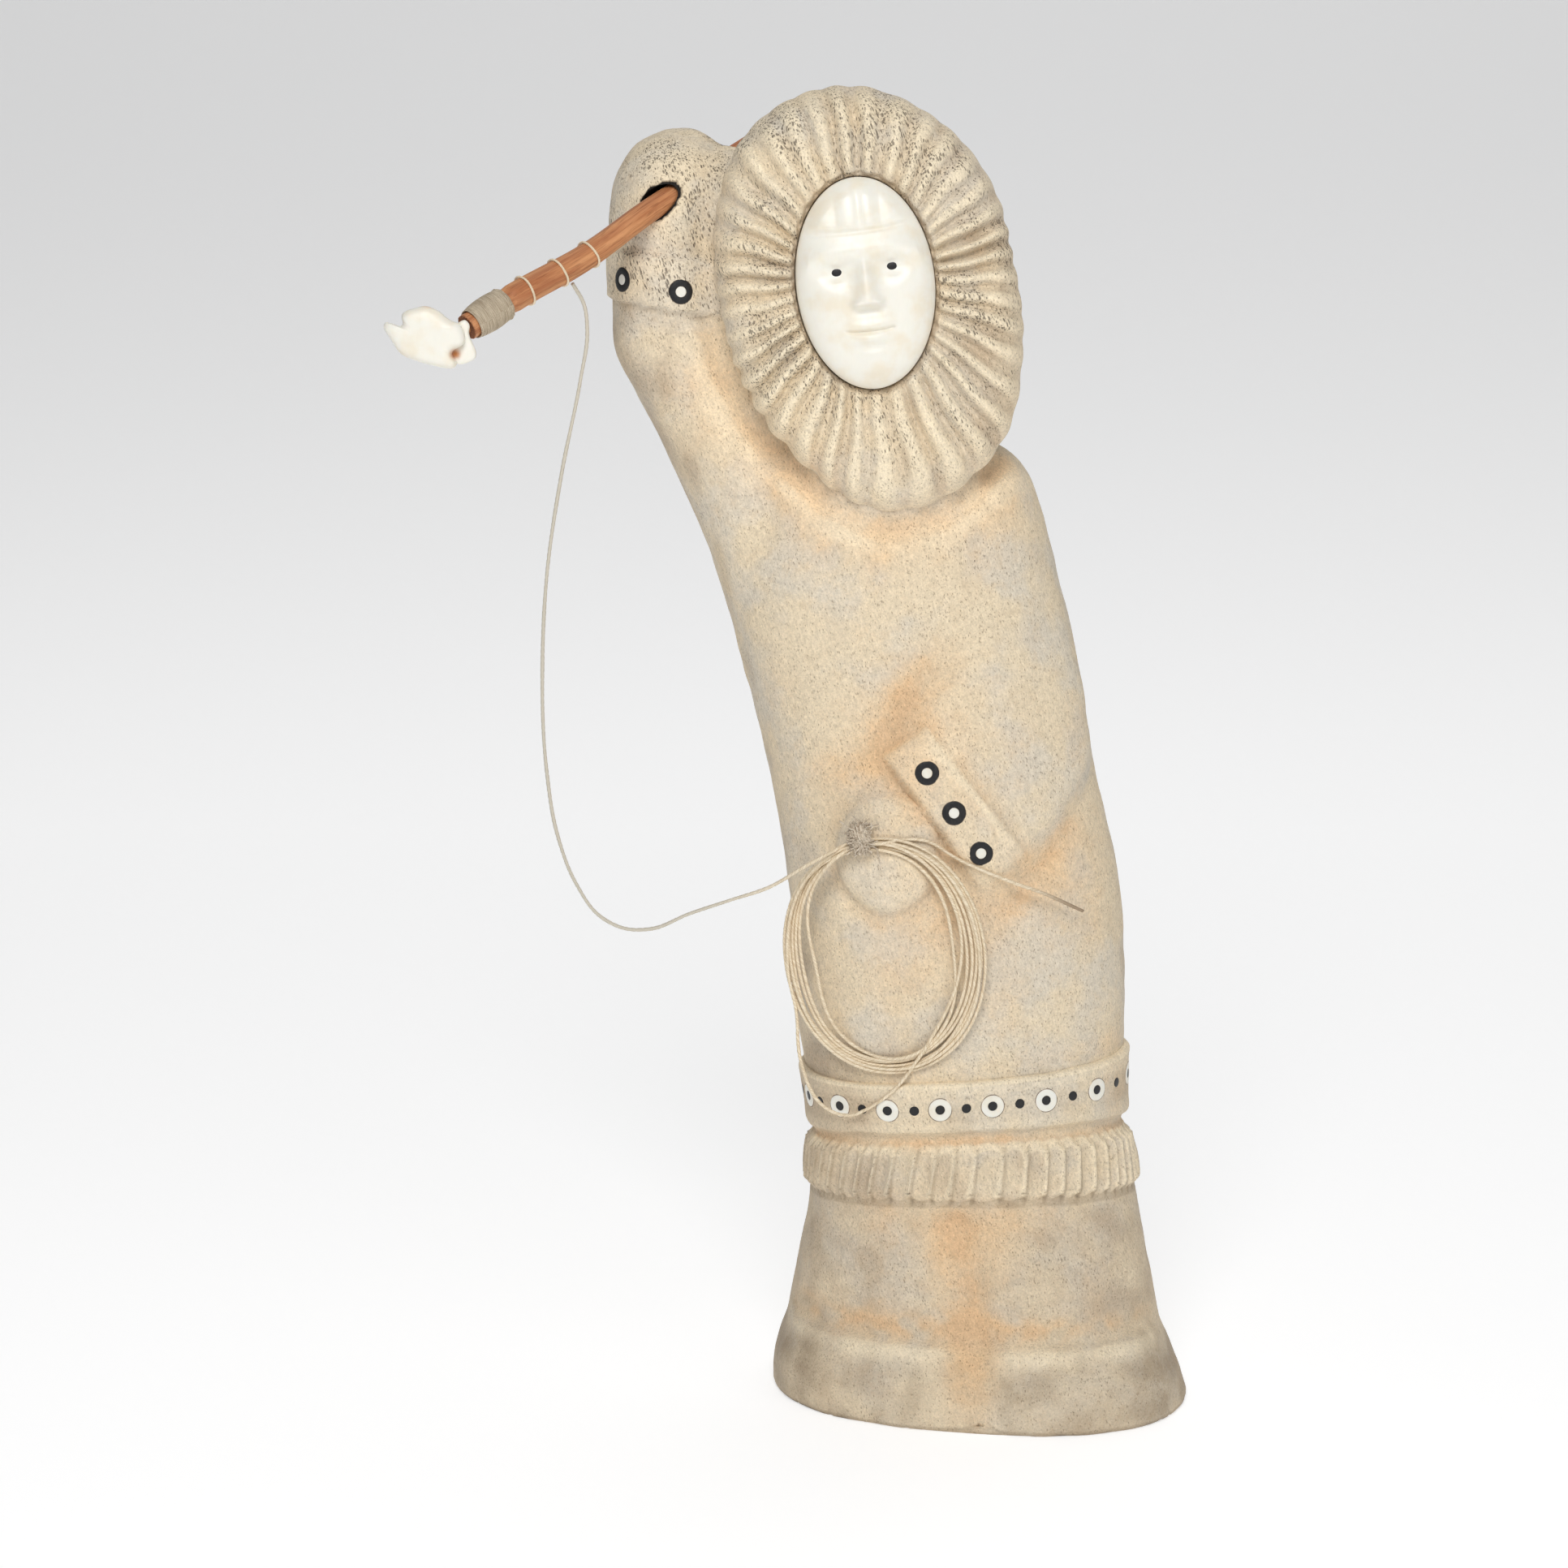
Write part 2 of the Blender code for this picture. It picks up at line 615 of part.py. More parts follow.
def cylinder(name, diameter, length, collection, material=None, sides=8, hole=0.0):
    """A cylinder along its own Z from 0 down to minus its length, with a hole through it if one is given."""
    shape = bmesh.new()
    bmesh.ops.create_cone(
        shape,
        cap_ends=True,
        segments=sides,
        radius1=0.5 * diameter,
        radius2=0.5 * diameter,
        depth=length,
        matrix=Matrix.Translation((0, 0, -0.5 * length)),
    )
    mesh = bpy.data.meshes.new(name)
    shape.to_mesh(mesh)
    shape.free()
    thing = add_object(name, mesh, collection, material)
    if hole:
        drill = cylinder(name + "_drill", hole, 3 * length, collection, sides=sides)
        drill.location.z = length
        join_into(thing, drill, "DIFFERENCE")
        bpy.data.objects.remove(drill)
    return thing


def stand_on(thing, point, normal):
    """Places an object at a point with its own Z along the surface's normal."""
    thing.rotation_euler = Vector(normal).to_track_quat("Z", "Y").to_euler()
    thing.location = point


class Surface:
    """The carved surface, for finding where inlaid pieces sit."""

    def __init__(self, thing):
        graph = bpy.context.evaluated_depsgraph_get()
        self.tree = BVHTree.FromObject(thing, graph)

    def seen_from(self, start, aim):
        """The place and outward normal where a ray meets the surface."""
        place, normal, _, _ = self.tree.ray_cast(Vector(start), Vector(aim).normalized())
        return place, normal

    def seat(self, start, aim, radius):
        """A place on the surface and its normal averaged over a disc of the radius."""
        place, normal = self.seen_from(start, aim)
        side = normal.orthogonal().normalized()
        total = normal.copy()
        for k in range(8):
            turned = Matrix.Rotation(k * math.tau / 8, 3, normal) @ side
            beside = self.tree.find_nearest(place + turned * radius)
            total += beside[1]
        return place, total.normalized()


def hem_turn(distance):
    """The turn round the hem at a distance along it, counted from the stud left of the middle."""
    turns = np.linspace(-1.5 * math.pi, 0.5 * math.pi, 721)
    row = girth(TRUNK, edge_height(HEM_ROW, turns), turns, HEM_PROUD * STEP)
    along = np.concatenate([[0], np.cumsum(np.linalg.norm(np.diff(row, axis=0), axis=1))])
    front = (turns > -math.pi) & (turns < 0)
    start = np.interp(HEM_STUD_START, row[front, 0], along[front])
    return float(np.interp(start + distance, along, turns))


def hem_place(surface, distance, radius):
    """The seat of a hem inlay at a distance along the hem."""
    turn = hem_turn(distance)
    height = float(edge_height(HEM_ROW, turn))
    on_band = girth(TRUNK, np.array(height), np.array(turn), 12 * STEP)
    middle = girth(TRUNK, np.array(height), np.array([0.0, math.pi])).mean(axis=0)
    return surface.seat(on_band, middle - on_band, radius)


def raised_cuff_place(surface, turn, radius):
    """The seat of a stud on the raised cuff."""
    height = edge_height(RAISED_CUFF_ROW, np.array(turn))
    outside = girth(RAISED_ARM, height, np.array(turn), 12 * STEP)
    middle = girth(RAISED_ARM, height, np.array([0.0, math.pi])).mean(axis=0)
    return surface.seat(outside, middle - outside, radius)


def lower_cuff_place(surface, number, radius):
    """The seat of a stud on the lower cuff, counted from its upper end."""
    along = (number - 0.5 * (LOWER_CUFF_STUDS - 1)) * LOWER_CUFF_STUD_SPACING
    cos, sin = math.cos(FOREARM_RISE), math.sin(FOREARM_RISE)
    x = LOWER_CUFF[0] * STEP + along * sin - number * LOWER_CUFF_STUD_DRIFT
    z = LOWER_CUFF[1] * STEP - along * cos
    return surface.seat((x, -0.5, z), (0, 1, 0), radius)


def inlay_places(surface):
    """Every inlaid stud and dot: name, seat, diameter, diameter of its eye, and its two materials."""
    made = []
    for k in range(-HEM_STUDS_EACH_SIDE, HEM_STUDS_EACH_SIDE + 1):
        distance = k * HEM_STUD_SPACING + k * k * HEM_STUD_SPREAD
        seat = hem_place(surface, distance, 0.4 * HEM_STUD_DIAMETER)
        number = k + HEM_STUDS_EACH_SIDE + 1
        sizes = (HEM_STUD_DIAMETER, HEM_STUD_EYE_DIAMETER)
        made.append((f"hem_stud_{number}", seat, *sizes, "ivory", "horn"))
        if k < HEM_STUDS_EACH_SIDE:
            half = k + 0.5
            distance = half * HEM_STUD_SPACING + half * half * HEM_STUD_SPREAD
            seat = hem_place(surface, distance, 0.4 * HEM_DOT_DIAMETER)
            made.append((f"hem_dot_{number}", seat, HEM_DOT_DIAMETER, 0, "horn", None))
    cuff_sizes = (STUD_DIAMETER, STUD_EYE_DIAMETER)
    for number in range(LOWER_CUFF_STUDS):
        seat = lower_cuff_place(surface, number, 0.4 * STUD_DIAMETER)
        made.append((f"lower_cuff_stud_{number + 1}", seat, *cuff_sizes, "horn", "ivory"))
    for number, turn in enumerate(RAISED_CUFF_STUD_TURNS):
        seat = raised_cuff_place(surface, turn, 0.4 * STUD_DIAMETER)
        made.append((f"raised_cuff_stud_{number + 1}", seat, *cuff_sizes, "horn", "ivory"))
    return made


def inlay_studs(figure, parts, cutters):
    """Lets the studs and dots into the figure, each in a drilled pocket."""
    surface = Surface(figure)
    pockets = bmesh.new()
    for name, (place, normal), wide, eye, outer, inner in inlay_places(surface):
        drill = cylinder("drill", wide + 2 * INLAY_GAP, 2 * INLAY_DEPTH + INLAY_GAP, cutters)
        stand_on(drill, place + normal * INLAY_DEPTH, normal)
        bpy.context.view_layer.update()
        drill.data.transform(drill.matrix_world)
        pockets.from_mesh(drill.data)
        bpy.data.objects.remove(drill)
        hole = eye + 2 * INLAY_GAP if eye else 0
        stud = cylinder(name, wide, INLAY_DEPTH + INLAY_PROUD, parts, outer, hole=hole)
        stand_on(stud, place + normal * INLAY_PROUD, normal)
        if eye:
            pin = cylinder(name + "_eye", eye, INLAY_DEPTH + INLAY_PROUD, parts, inner, sides=6)
            stand_on(pin, place + normal * INLAY_PROUD, normal)
    mesh = bpy.data.meshes.new("pockets")
    pockets.to_mesh(mesh)
    pockets.free()
    cutter = add_object("pockets", mesh, cutters)
    hide_helper(cutter)
    join_into(figure, cutter, "DIFFERENCE")
    shade(figure)


def face_relief(across, up):
    """The height of the face's features over its plate: hair, brow, eye hollows, nose, mouth and chin."""
    wide, high = across / FACE_HALF_WIDTH, up / FACE_HALF_HEIGHT
    hair = 0.5 * smooth_step(0.50, 0.58, high - 0.06 * wide**2)
    brow = 0.9 * mound(high - 0.31 + 0.08 * wide**2, 0.11) * (1 - 0.3 * wide**2)
    side = np.abs(across) - 0.5 * EYE_SPREAD
    hollow = -1.5 * mound(np.hypot(side, 1.3 * (up - EYE_RISE)), 4.2 * MM)
    bridge = smooth_step(-0.26, -0.14, high) * (1 - smooth_step(0.16, 0.34, high))
    width = (2.2 + 5.0 * (0.2 - high)) * MM
    nose = (1.0 + 2.6 * (0.22 - high)) * bridge * mound(across, np.maximum(width, 1.5 * MM))
    mouth = -0.7 * mound(high + 0.45 - 0.25 * wide**2, 0.03) * (1 - smooth_step(0.36, 0.46, np.abs(wide)))
    lips = 0.6 * mound(high + 0.45 - 0.25 * wide**2, 0.1) * mound(wide, 0.42)
    chin = 0.7 * mound(np.hypot(0.8 * wide, high + 0.74), 0.2)
    return (hair + brow + hollow + nose + mouth + lips + chin) * MM


def make_face(parts, cutters):
    """The ivory face: an oval domed plate with carved features and two peg eyes."""
    turns = np.linspace(0, math.tau, 20, endpoint=False)
    back = RUFF_FRONT * STEP - FACE_SETBACK + INLAY_GAP
    edge = face_reach(turns)
    flat = [(share * edge * np.sin(turns), share * edge * np.cos(turns)) for share in (0.02, 1.0)]
    rows = [head_frame(across, up, back + 0 * turns) for across, up in flat]
    for share in (1.0, 0.97, 0.86, 0.72, 0.58, 0.44, 0.3, 0.17, 0.05):
        across, up = share * edge * np.sin(turns), share * edge * np.cos(turns)
        dome = FACE_SETBACK + (FACE_THICKNESS - FACE_SETBACK) * (1 - share**3.2) ** 0.6
        fade = min(1.0, 6 * (1 - share))
        rows.append(head_frame(across, up, back + dome + fade * face_relief(across, up)))
    face = add_object("ivory_face", skin(np.array(rows)), parts, "ivory")
    surface = Surface(face)
    for name, side in (("left", -1), ("right", 1)):
        across, up = np.array(side * 0.5 * EYE_SPREAD), np.array(EYE_RISE)
        start = head_frame(across, up, np.array(0.2))
        place, _ = surface.seen_from(start, (0, 1, 0))
        drill = cylinder(f"{name}_eye_drill", EYE_DIAMETER + 2 * INLAY_GAP, 2 * EYE_DEPTH, cutters)
        stand_on(drill, place - Vector((0, EYE_DEPTH - INLAY_GAP, 0)), (0, -1, 0))
        hide_helper(drill)
        join_into(face, drill, "DIFFERENCE")
        peg = cylinder(f"{name}_eye_peg", EYE_DIAMETER, EYE_DEPTH, parts, "horn")
        stand_on(peg, place - Vector((0, INLAY_PROUD, 0)), (0, -1, 0))
    shade(face)


def harpoon_frame():
    """The harpoon's own frame: origin at the mouth of the fist's hole, Z towards the harpoon's head."""
    aim = Vector(HARPOON_AIM).normalized()
    turned = aim.to_track_quat("Z", "Y").to_matrix().to_4x4()
    origin = Matrix.Translation(Vector(FIST_HOLE) * STEP)
    return origin @ turned


def shaft_radius(place):
    """The shaft's radius at a place along it: thin behind the hand, thick in front, with a narrower end."""
    tenon = SHAFT_FRONT_LENGTH - SHAFT_TENON_LENGTH
    places = (-SHAFT_REAR_LENGTH, 0.0, tenon - 2 * MM, tenon, SHAFT_FRONT_LENGTH)
    sizes = (
        SHAFT_REAR_DIAMETER,
        SHAFT_HAND_DIAMETER,
        SHAFT_FRONT_DIAMETER,
        SHAFT_TENON_DIAMETER,
        SHAFT_TENON_DIAMETER,
    )
    return 0.5 * float(np.interp(place, places, sizes))


def shaft_line(place):
    """The middle of the shaft at a place along it: it rests low in the hole and bows a little in front."""
    share = min(max(place / (SHAFT_FRONT_LENGTH - SHAFT_TENON_LENGTH), 0.0), 1.0)
    down = harpoon_frame().to_3x3().inverted() @ Vector((0, 0, -1))
    down.z = 0
    bow = SHAFT_BOW * math.sin(math.pi * share) ** 2
    return down.normalized() * (SHAFT_DROP + bow) + Vector((0, 0, place))


def tube(name, points, radii, collection, material, sides=8, closed=False):
    """A round tube along points, with filled ends or closed into a ring."""
    curve = bpy.data.curves.new(name, "CURVE")
    curve.dimensions = "3D"
    curve.bevel_depth = 1.0
    curve.bevel_resolution = (sides - 4) // 2
    curve.use_fill_caps = not closed
    spline = curve.splines.new("POLY")
    spline.points.add(len(points) - 1)
    for k, point in enumerate(points):
        spline.points[k].co = (*point, 1)
        spline.points[k].radius = float(radii[k]) if hasattr(radii, "__len__") else radii
    spline.use_cyclic_u = closed
    return add_object(name, curve, collection, material)


def make_shaft(parts, axis):
    """The whittled wooden shaft, with a bow in front of the hand."""
    tenon = SHAFT_FRONT_LENGTH - SHAFT_TENON_LENGTH
    places = [-SHAFT_REAR_LENGTH, 0.0, 0.25 * tenon, 0.5 * tenon, 0.75 * tenon, tenon - 2 * MM, tenon]
    places.append(SHAFT_FRONT_LENGTH)
    points = [shaft_line(place) for place in places]
    radii = [shaft_radius(place) for place in places]
    shaft = tube("harpoon_shaft", points, radii, parts, "wood", sides=14)
    shaft.parent = axis
    return shaft


def lathe(name, profile, collection, material, steps=16):
    """A ring of a closed profile of radii and heights, turned round its own Z."""
    mesh = bpy.data.meshes.new(name)
    count = len(profile)
    mesh.from_pydata([(r, 0, z) for r, z in profile], [(k, (k + 1) % count) for k in range(count)], [])
    thing = add_object(name, mesh, collection, material)
    spin = thing.modifiers.new("turn", "SCREW")
    spin.steps = spin.render_steps = steps
    spin.use_merge_vertices = True
    spin.merge_threshold = 0.01 * MM
    spin.use_normal_calculate = True
    return thing


def make_bands(parts, axis):
    """Three turns of sinew round the shaft, and the wide lashing at its front end."""
    for number, place in enumerate(BAND_PLACES):
        reach = shaft_radius(place) + TOUCH_GAP + 0.5 * BAND_DIAMETER
        turns = np.arange(16) * math.tau / 16
        ring = [(reach * math.cos(turn), reach * math.sin(turn), 0) for turn in turns]
        name = f"shaft_band_{number + 1}"
        band = tube(name, ring, 0.5 * BAND_DIAMETER, parts, "sinew", sides=4, closed=True)
        band.parent = axis
        band.location = shaft_line(place)
    front = SHAFT_FRONT_LENGTH - LASHING_SETBACK
    inner = shaft_radius(front) + TOUCH_GAP
    outer = inner + LASHING_THICKNESS
    profile = [
        (outer, -0.25 * LASHING_LENGTH),
        (outer, -0.8 * LASHING_LENGTH),
        (inner + 0.4 * LASHING_THICKNESS, -LASHING_LENGTH),
        (inner, -LASHING_LENGTH),
        (inner, 0.0),
        (inner + 0.4 * LASHING_THICKNESS, 0.0),
    ]
    lashing = lathe("front_lashing", profile, parts, "sinew")
    lashing.parent = axis
    lashing.location = shaft_line(front)


def plate_rows(outline, back, front, crown):
    """The rows of a flat piece facing the viewer: a chamfered back and a softly crowned front."""
    flat = np.array(outline) * STEP
    middle = flat.mean(axis=0)
    thick = front - back
    sections = [(0.86, back), (1.0, back + 0.22 * thick), (1.0, front - 0.45 * thick)]
    sections += [(0.84, front - 0.14 * thick), (0.45, front + crown)]
    rows = []
    for share, depth in sections:
        edge = middle + (flat - middle) * share
        rows.append(np.stack([edge[:, 0], np.full(len(edge), -depth), edge[:, 1]], axis=-1))
    return np.array(rows)


def make_head(parts, axis, cutters):
    """The ivory harpoon head, a notched leaf with a fin behind it, on a short foreshaft."""
    end = axis.matrix_world @ shaft_line(SHAFT_FRONT_LENGTH)
    leaf = skin(plate_rows(HEAD_LEAF, LEAF_BACK, LEAF_FRONT, 0.5 * MM))
    head = add_object("harpoon_head", leaf, parts, "ivory")
    fin = add_object("shape_fin", skin(plate_rows(HEAD_FIN, FIN_BACK, FIN_FRONT, 0.0)), cutters)
    hide_helper(fin)
    head.location = fin.location = end
    bpy.context.view_layer.update()
    join_into(head, fin, "UNION")
    socket = cylinder("socket", FORESHAFT_DIAMETER + 2 * TOUCH_GAP, FORESHAFT_LENGTH, cutters)
    tip = shaft_line(SHAFT_FRONT_LENGTH) + Vector((0, 0, FORESHAFT_LENGTH))
    socket.matrix_world = axis.matrix_world @ Matrix.Translation(tip + Vector((0, 0, TOUCH_GAP)))
    hide_helper(socket)
    bpy.context.view_layer.update()
    join_into(head, socket, "DIFFERENCE")
    foreshaft = cylinder("foreshaft", FORESHAFT_DIAMETER, FORESHAFT_LENGTH - TOUCH_GAP, parts, "wood")
    foreshaft.parent = axis
    foreshaft.location = tip


def even_points(route, count):
    """Points at equal steps along a smooth curve through a route."""
    route = np.asarray(route, float)
    knots = np.concatenate([[0], np.cumsum(np.linalg.norm(np.diff(route, axis=0), axis=1))])
    fine = through(knots, route, np.linspace(0, knots[-1], 40 * len(route)))
    along = np.concatenate([[0], np.cumsum(np.linalg.norm(np.diff(fine, axis=0), axis=1))])
    steps = np.linspace(0, along[-1], count)
    return np.stack([np.interp(steps, along, fine[:, k]) for k in range(3)], axis=-1)


def nearest_front(surfaces, x, z, reach):
    """How far forward the surfaces come within a reach of a point seen from the front, or none."""
    found = []
    for ring in (0.0, 0.55, 1.0):
        for k in range(8 if ring else 1):
            turn = k * math.tau / 8
            start = (x + ring * reach * math.cos(turn), -0.5, z + ring * reach * math.sin(turn))
            for surface in surfaces:
                place, _ = surface.seen_from(start, (0, 1, 0))
                if place is not None:
                    found.append(place.y)
    return min(found) if found else None


def laid_on(points, surfaces, radius, closed=False):
    """The points brought forward where they must, so that a cord along them clears the surfaces."""
    points = np.array(points)
    depth = points[:, 1].copy()
    for k, (x, _, z) in enumerate(points):
        front = nearest_front(surfaces, x, z, radius + TOUCH_GAP)
        if front is not None:
            depth[k] = min(depth[k], front - radius - 1.3 * TOUCH_GAP)
    pad = "wrap" if closed else "edge"
    wide = np.pad(depth, 2, mode=pad)
    lead = np.min([wide[k : k + len(depth)] for k in range(5)], axis=0)
    wide = np.pad(lead, 1, mode=pad)
    points[:, 1] = np.minimum(depth, (wide[:-2] + 2 * lead + wide[2:]) / 4)
    return points


def coil_point(turn, top, bottom):
    """A point of the coil: an oval through its top and bottom points, its left side turned back."""
    middle, reach = (top + bottom) / 2, (top - bottom) / 2
    side = np.array([math.cos(COIL_TURN) * math.cos(COIL_LEAN), -math.sin(COIL_TURN), math.sin(COIL_LEAN)])
    return middle + reach * math.cos(turn) + side * COIL_HALF[0] * STEP * math.sin(turn)


def make_line(figure, parts, axis):
    """The hanging line, its coil, the knot that ties it to the mitten, and the line's short end."""
    surface = Surface(figure)
    radius = 0.5 * COIL_BUNDLE
    knot_radius = radius + TOUCH_GAP + KNOT_THICKNESS
    lean = np.array([-math.sin(COIL_LEAN), math.cos(COIL_LEAN)]) * COIL_HALF[1] * STEP
    ends = []
    for sign, clearance in ((1, knot_radius), (-1, radius)):
        x, z = np.array(COIL_CENTRE) * STEP + sign * lean
        y = nearest_front([surface], x, z, clearance + TOUCH_GAP) - clearance - 2 * TOUCH_GAP
        ends.append(np.array([x, y, z]))
    turns = (np.arange(COIL_POINTS) + 0.5) * math.tau / COIL_POINTS
    ring = laid_on([coil_point(turn, *ends) for turn in turns], [surface], radius, closed=True)
    ring[-2:, 1] = ring[:2, 1] = min(ring[-2:, 1].min(), ring[:2, 1].min())
    coil = tube("line_coil", ring, radius, parts, "sinew", closed=True)
    inner = radius + TOUCH_GAP
    half = 0.5 * KNOT_LENGTH
    profile = [
        (inner, -half),
        (knot_radius - 0.5 * MM, -half),
        (knot_radius, 0.0),
        (knot_radius - 0.5 * MM, half),
        (inner, half),
    ]
    knot = lathe("line_knot", profile, parts, "sinew", steps=12)
    along = Vector(ring[0] - ring[-1]).normalized()
    middle = Vector(ring[0] + ring[-1]) / 2
    knot.location = middle
    knot.rotation_euler = along.to_track_quat("Z", "Y").to_euler()
    bpy.context.view_layer.update()
    blockers = [surface, Surface(coil)]
    reach = radius + TOUCH_GAP + 0.5 * LINE_DIAMETER
    offset = Vector((0, -0.8, 0.6)).normalized() * reach
    left, right = (middle + along * sign * (half + TOUCH_GAP) + offset for sign in (-1, 1))
    start = axis.matrix_world @ shaft_line(LINE_PLACE)
    start.z -= (shaft_radius(LINE_PLACE) + TOUCH_GAP) / math.cos(math.radians(26)) + 0.5 * LINE_DIAMETER
    first = np.array(start)
    route = [first, *(np.array(LINE_ROUTE) * STEP), np.array(left)]
    line = laid_on(even_points(route, LINE_POINTS), blockers, 0.5 * LINE_DIAMETER)
    tube("sinew_line", line, 0.5 * LINE_DIAMETER, parts, "sinew")
    route = [np.array(right), *(np.array(TAIL_ROUTE) * STEP)]
    tail = even_points(route, TAIL_POINTS)
    tail[:, 1] += 6 * MM
    tail[:2, 1] -= 6 * MM
    tail = laid_on(tail, blockers, 0.5 * LINE_DIAMETER)
    tube("line_tail", tail, 0.5 * LINE_DIAMETER, parts, "sinew")


def main():
    parts, cutters = clear_scene()
    trunk = make_trunk(parts)
    add_bands(trunk, cutters)
    axis = bpy.data.objects.new("harpoon_axis", None)
    parts.objects.link(axis)
    axis.matrix_world = harpoon_frame()
    bore = cylinder("bore", BORE_DIAMETER, 90 * MM, cutters, sides=20)
    bore.matrix_world = harpoon_frame() @ Matrix.Translation((0, 0, 30 * MM))
    hide_helper(bore)
    ground = cylinder("ground", 400 * MM, 40 * MM, cutters, sides=16)
    hide_helper(ground)
    join_into(trunk, ground, "DIFFERENCE")
    join_into(trunk, bore, "DIFFERENCE")
    inlay_studs(trunk, parts, cutters)
    make_face(parts, cutters)
    make_shaft(parts, axis)
    make_bands(parts, axis)
    make_head(parts, axis, cutters)
    make_line(trunk, parts, axis)


main()
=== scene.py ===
"""Looks of a fisherman carved in weathered whale bone, with an ivory face, inlaid studs and a harpoon.

Metres, +Z up. The figure faces -Y, and the origin is the middle of its underside. Shapes are worked out in
millimetres, and build makes metres of them.
"""

import json
import math

import bpy
import numpy as np
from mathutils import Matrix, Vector
from mathutils.bvhtree import BVHTree

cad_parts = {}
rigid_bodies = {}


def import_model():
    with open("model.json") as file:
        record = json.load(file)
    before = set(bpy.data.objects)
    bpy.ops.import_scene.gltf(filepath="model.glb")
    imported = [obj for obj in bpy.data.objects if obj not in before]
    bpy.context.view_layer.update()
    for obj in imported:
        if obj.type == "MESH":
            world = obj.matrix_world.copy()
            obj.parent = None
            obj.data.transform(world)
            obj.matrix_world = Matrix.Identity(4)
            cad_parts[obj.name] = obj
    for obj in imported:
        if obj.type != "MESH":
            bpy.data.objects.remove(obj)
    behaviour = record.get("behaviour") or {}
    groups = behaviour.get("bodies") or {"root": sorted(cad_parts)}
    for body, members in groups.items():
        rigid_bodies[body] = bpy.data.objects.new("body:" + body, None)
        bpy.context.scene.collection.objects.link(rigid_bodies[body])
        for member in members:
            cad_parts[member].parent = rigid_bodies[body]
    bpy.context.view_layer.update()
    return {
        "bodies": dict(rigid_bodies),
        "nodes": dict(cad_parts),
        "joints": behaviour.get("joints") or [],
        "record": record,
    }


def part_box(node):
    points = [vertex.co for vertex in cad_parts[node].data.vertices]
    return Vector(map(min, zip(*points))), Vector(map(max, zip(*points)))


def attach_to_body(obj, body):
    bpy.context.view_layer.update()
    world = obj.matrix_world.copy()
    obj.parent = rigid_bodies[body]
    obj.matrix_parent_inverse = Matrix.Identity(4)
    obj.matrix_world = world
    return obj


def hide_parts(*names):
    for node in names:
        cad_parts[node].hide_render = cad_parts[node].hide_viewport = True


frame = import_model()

MM = 0.001


# The camera stands a little above the middle of the figure and looks slightly down on it. The studio is one sheet of
# pale paper that runs from the floor up behind the figure, lit by a large soft lamp at the front left. The paper also
# glows with painted light: bright near the figure and greyer high up behind it.
CAMERA_PLACE = (-0.0554, -0.9074, 0.3288)
CAMERA_DROP = math.radians(9.5)
CAMERA_LENS = 74.9
PAPER_AHEAD = 2500
PAPER_BEHIND = 900
PAPER_BEND = 500
PAPER_HEIGHT = 2400
PAPER_WIDTH = 5000
PAPER_COLOUR = (0.62, 0.62, 0.62, 1)
PAPER_PAINTED_LIGHT_NEAR = (0.58, 0.58, 0.58, 1)
PAPER_PAINTED_LIGHT_FAR = (0.25, 0.25, 0.25, 1)
AIR_COLOUR = (0.95, 0.97, 1.0, 1)
AIR_STRENGTH = 0.12
# Each lamp's place, what it is aimed at, its width and its power.
LAMPS = {
    "key": ((-0.12, -0.95, 0.95), (-0.03, 0.0, 0.25), 0.6, 8.9),
    "fill": ((1.0, -1.1, 0.40), (0.0, 0.0, 0.18), 1.0, 2.6),
    "top": ((0.3, 0.5, 1.5), (0.0, 0.0, 0.2), 1.2, 3.0),
}


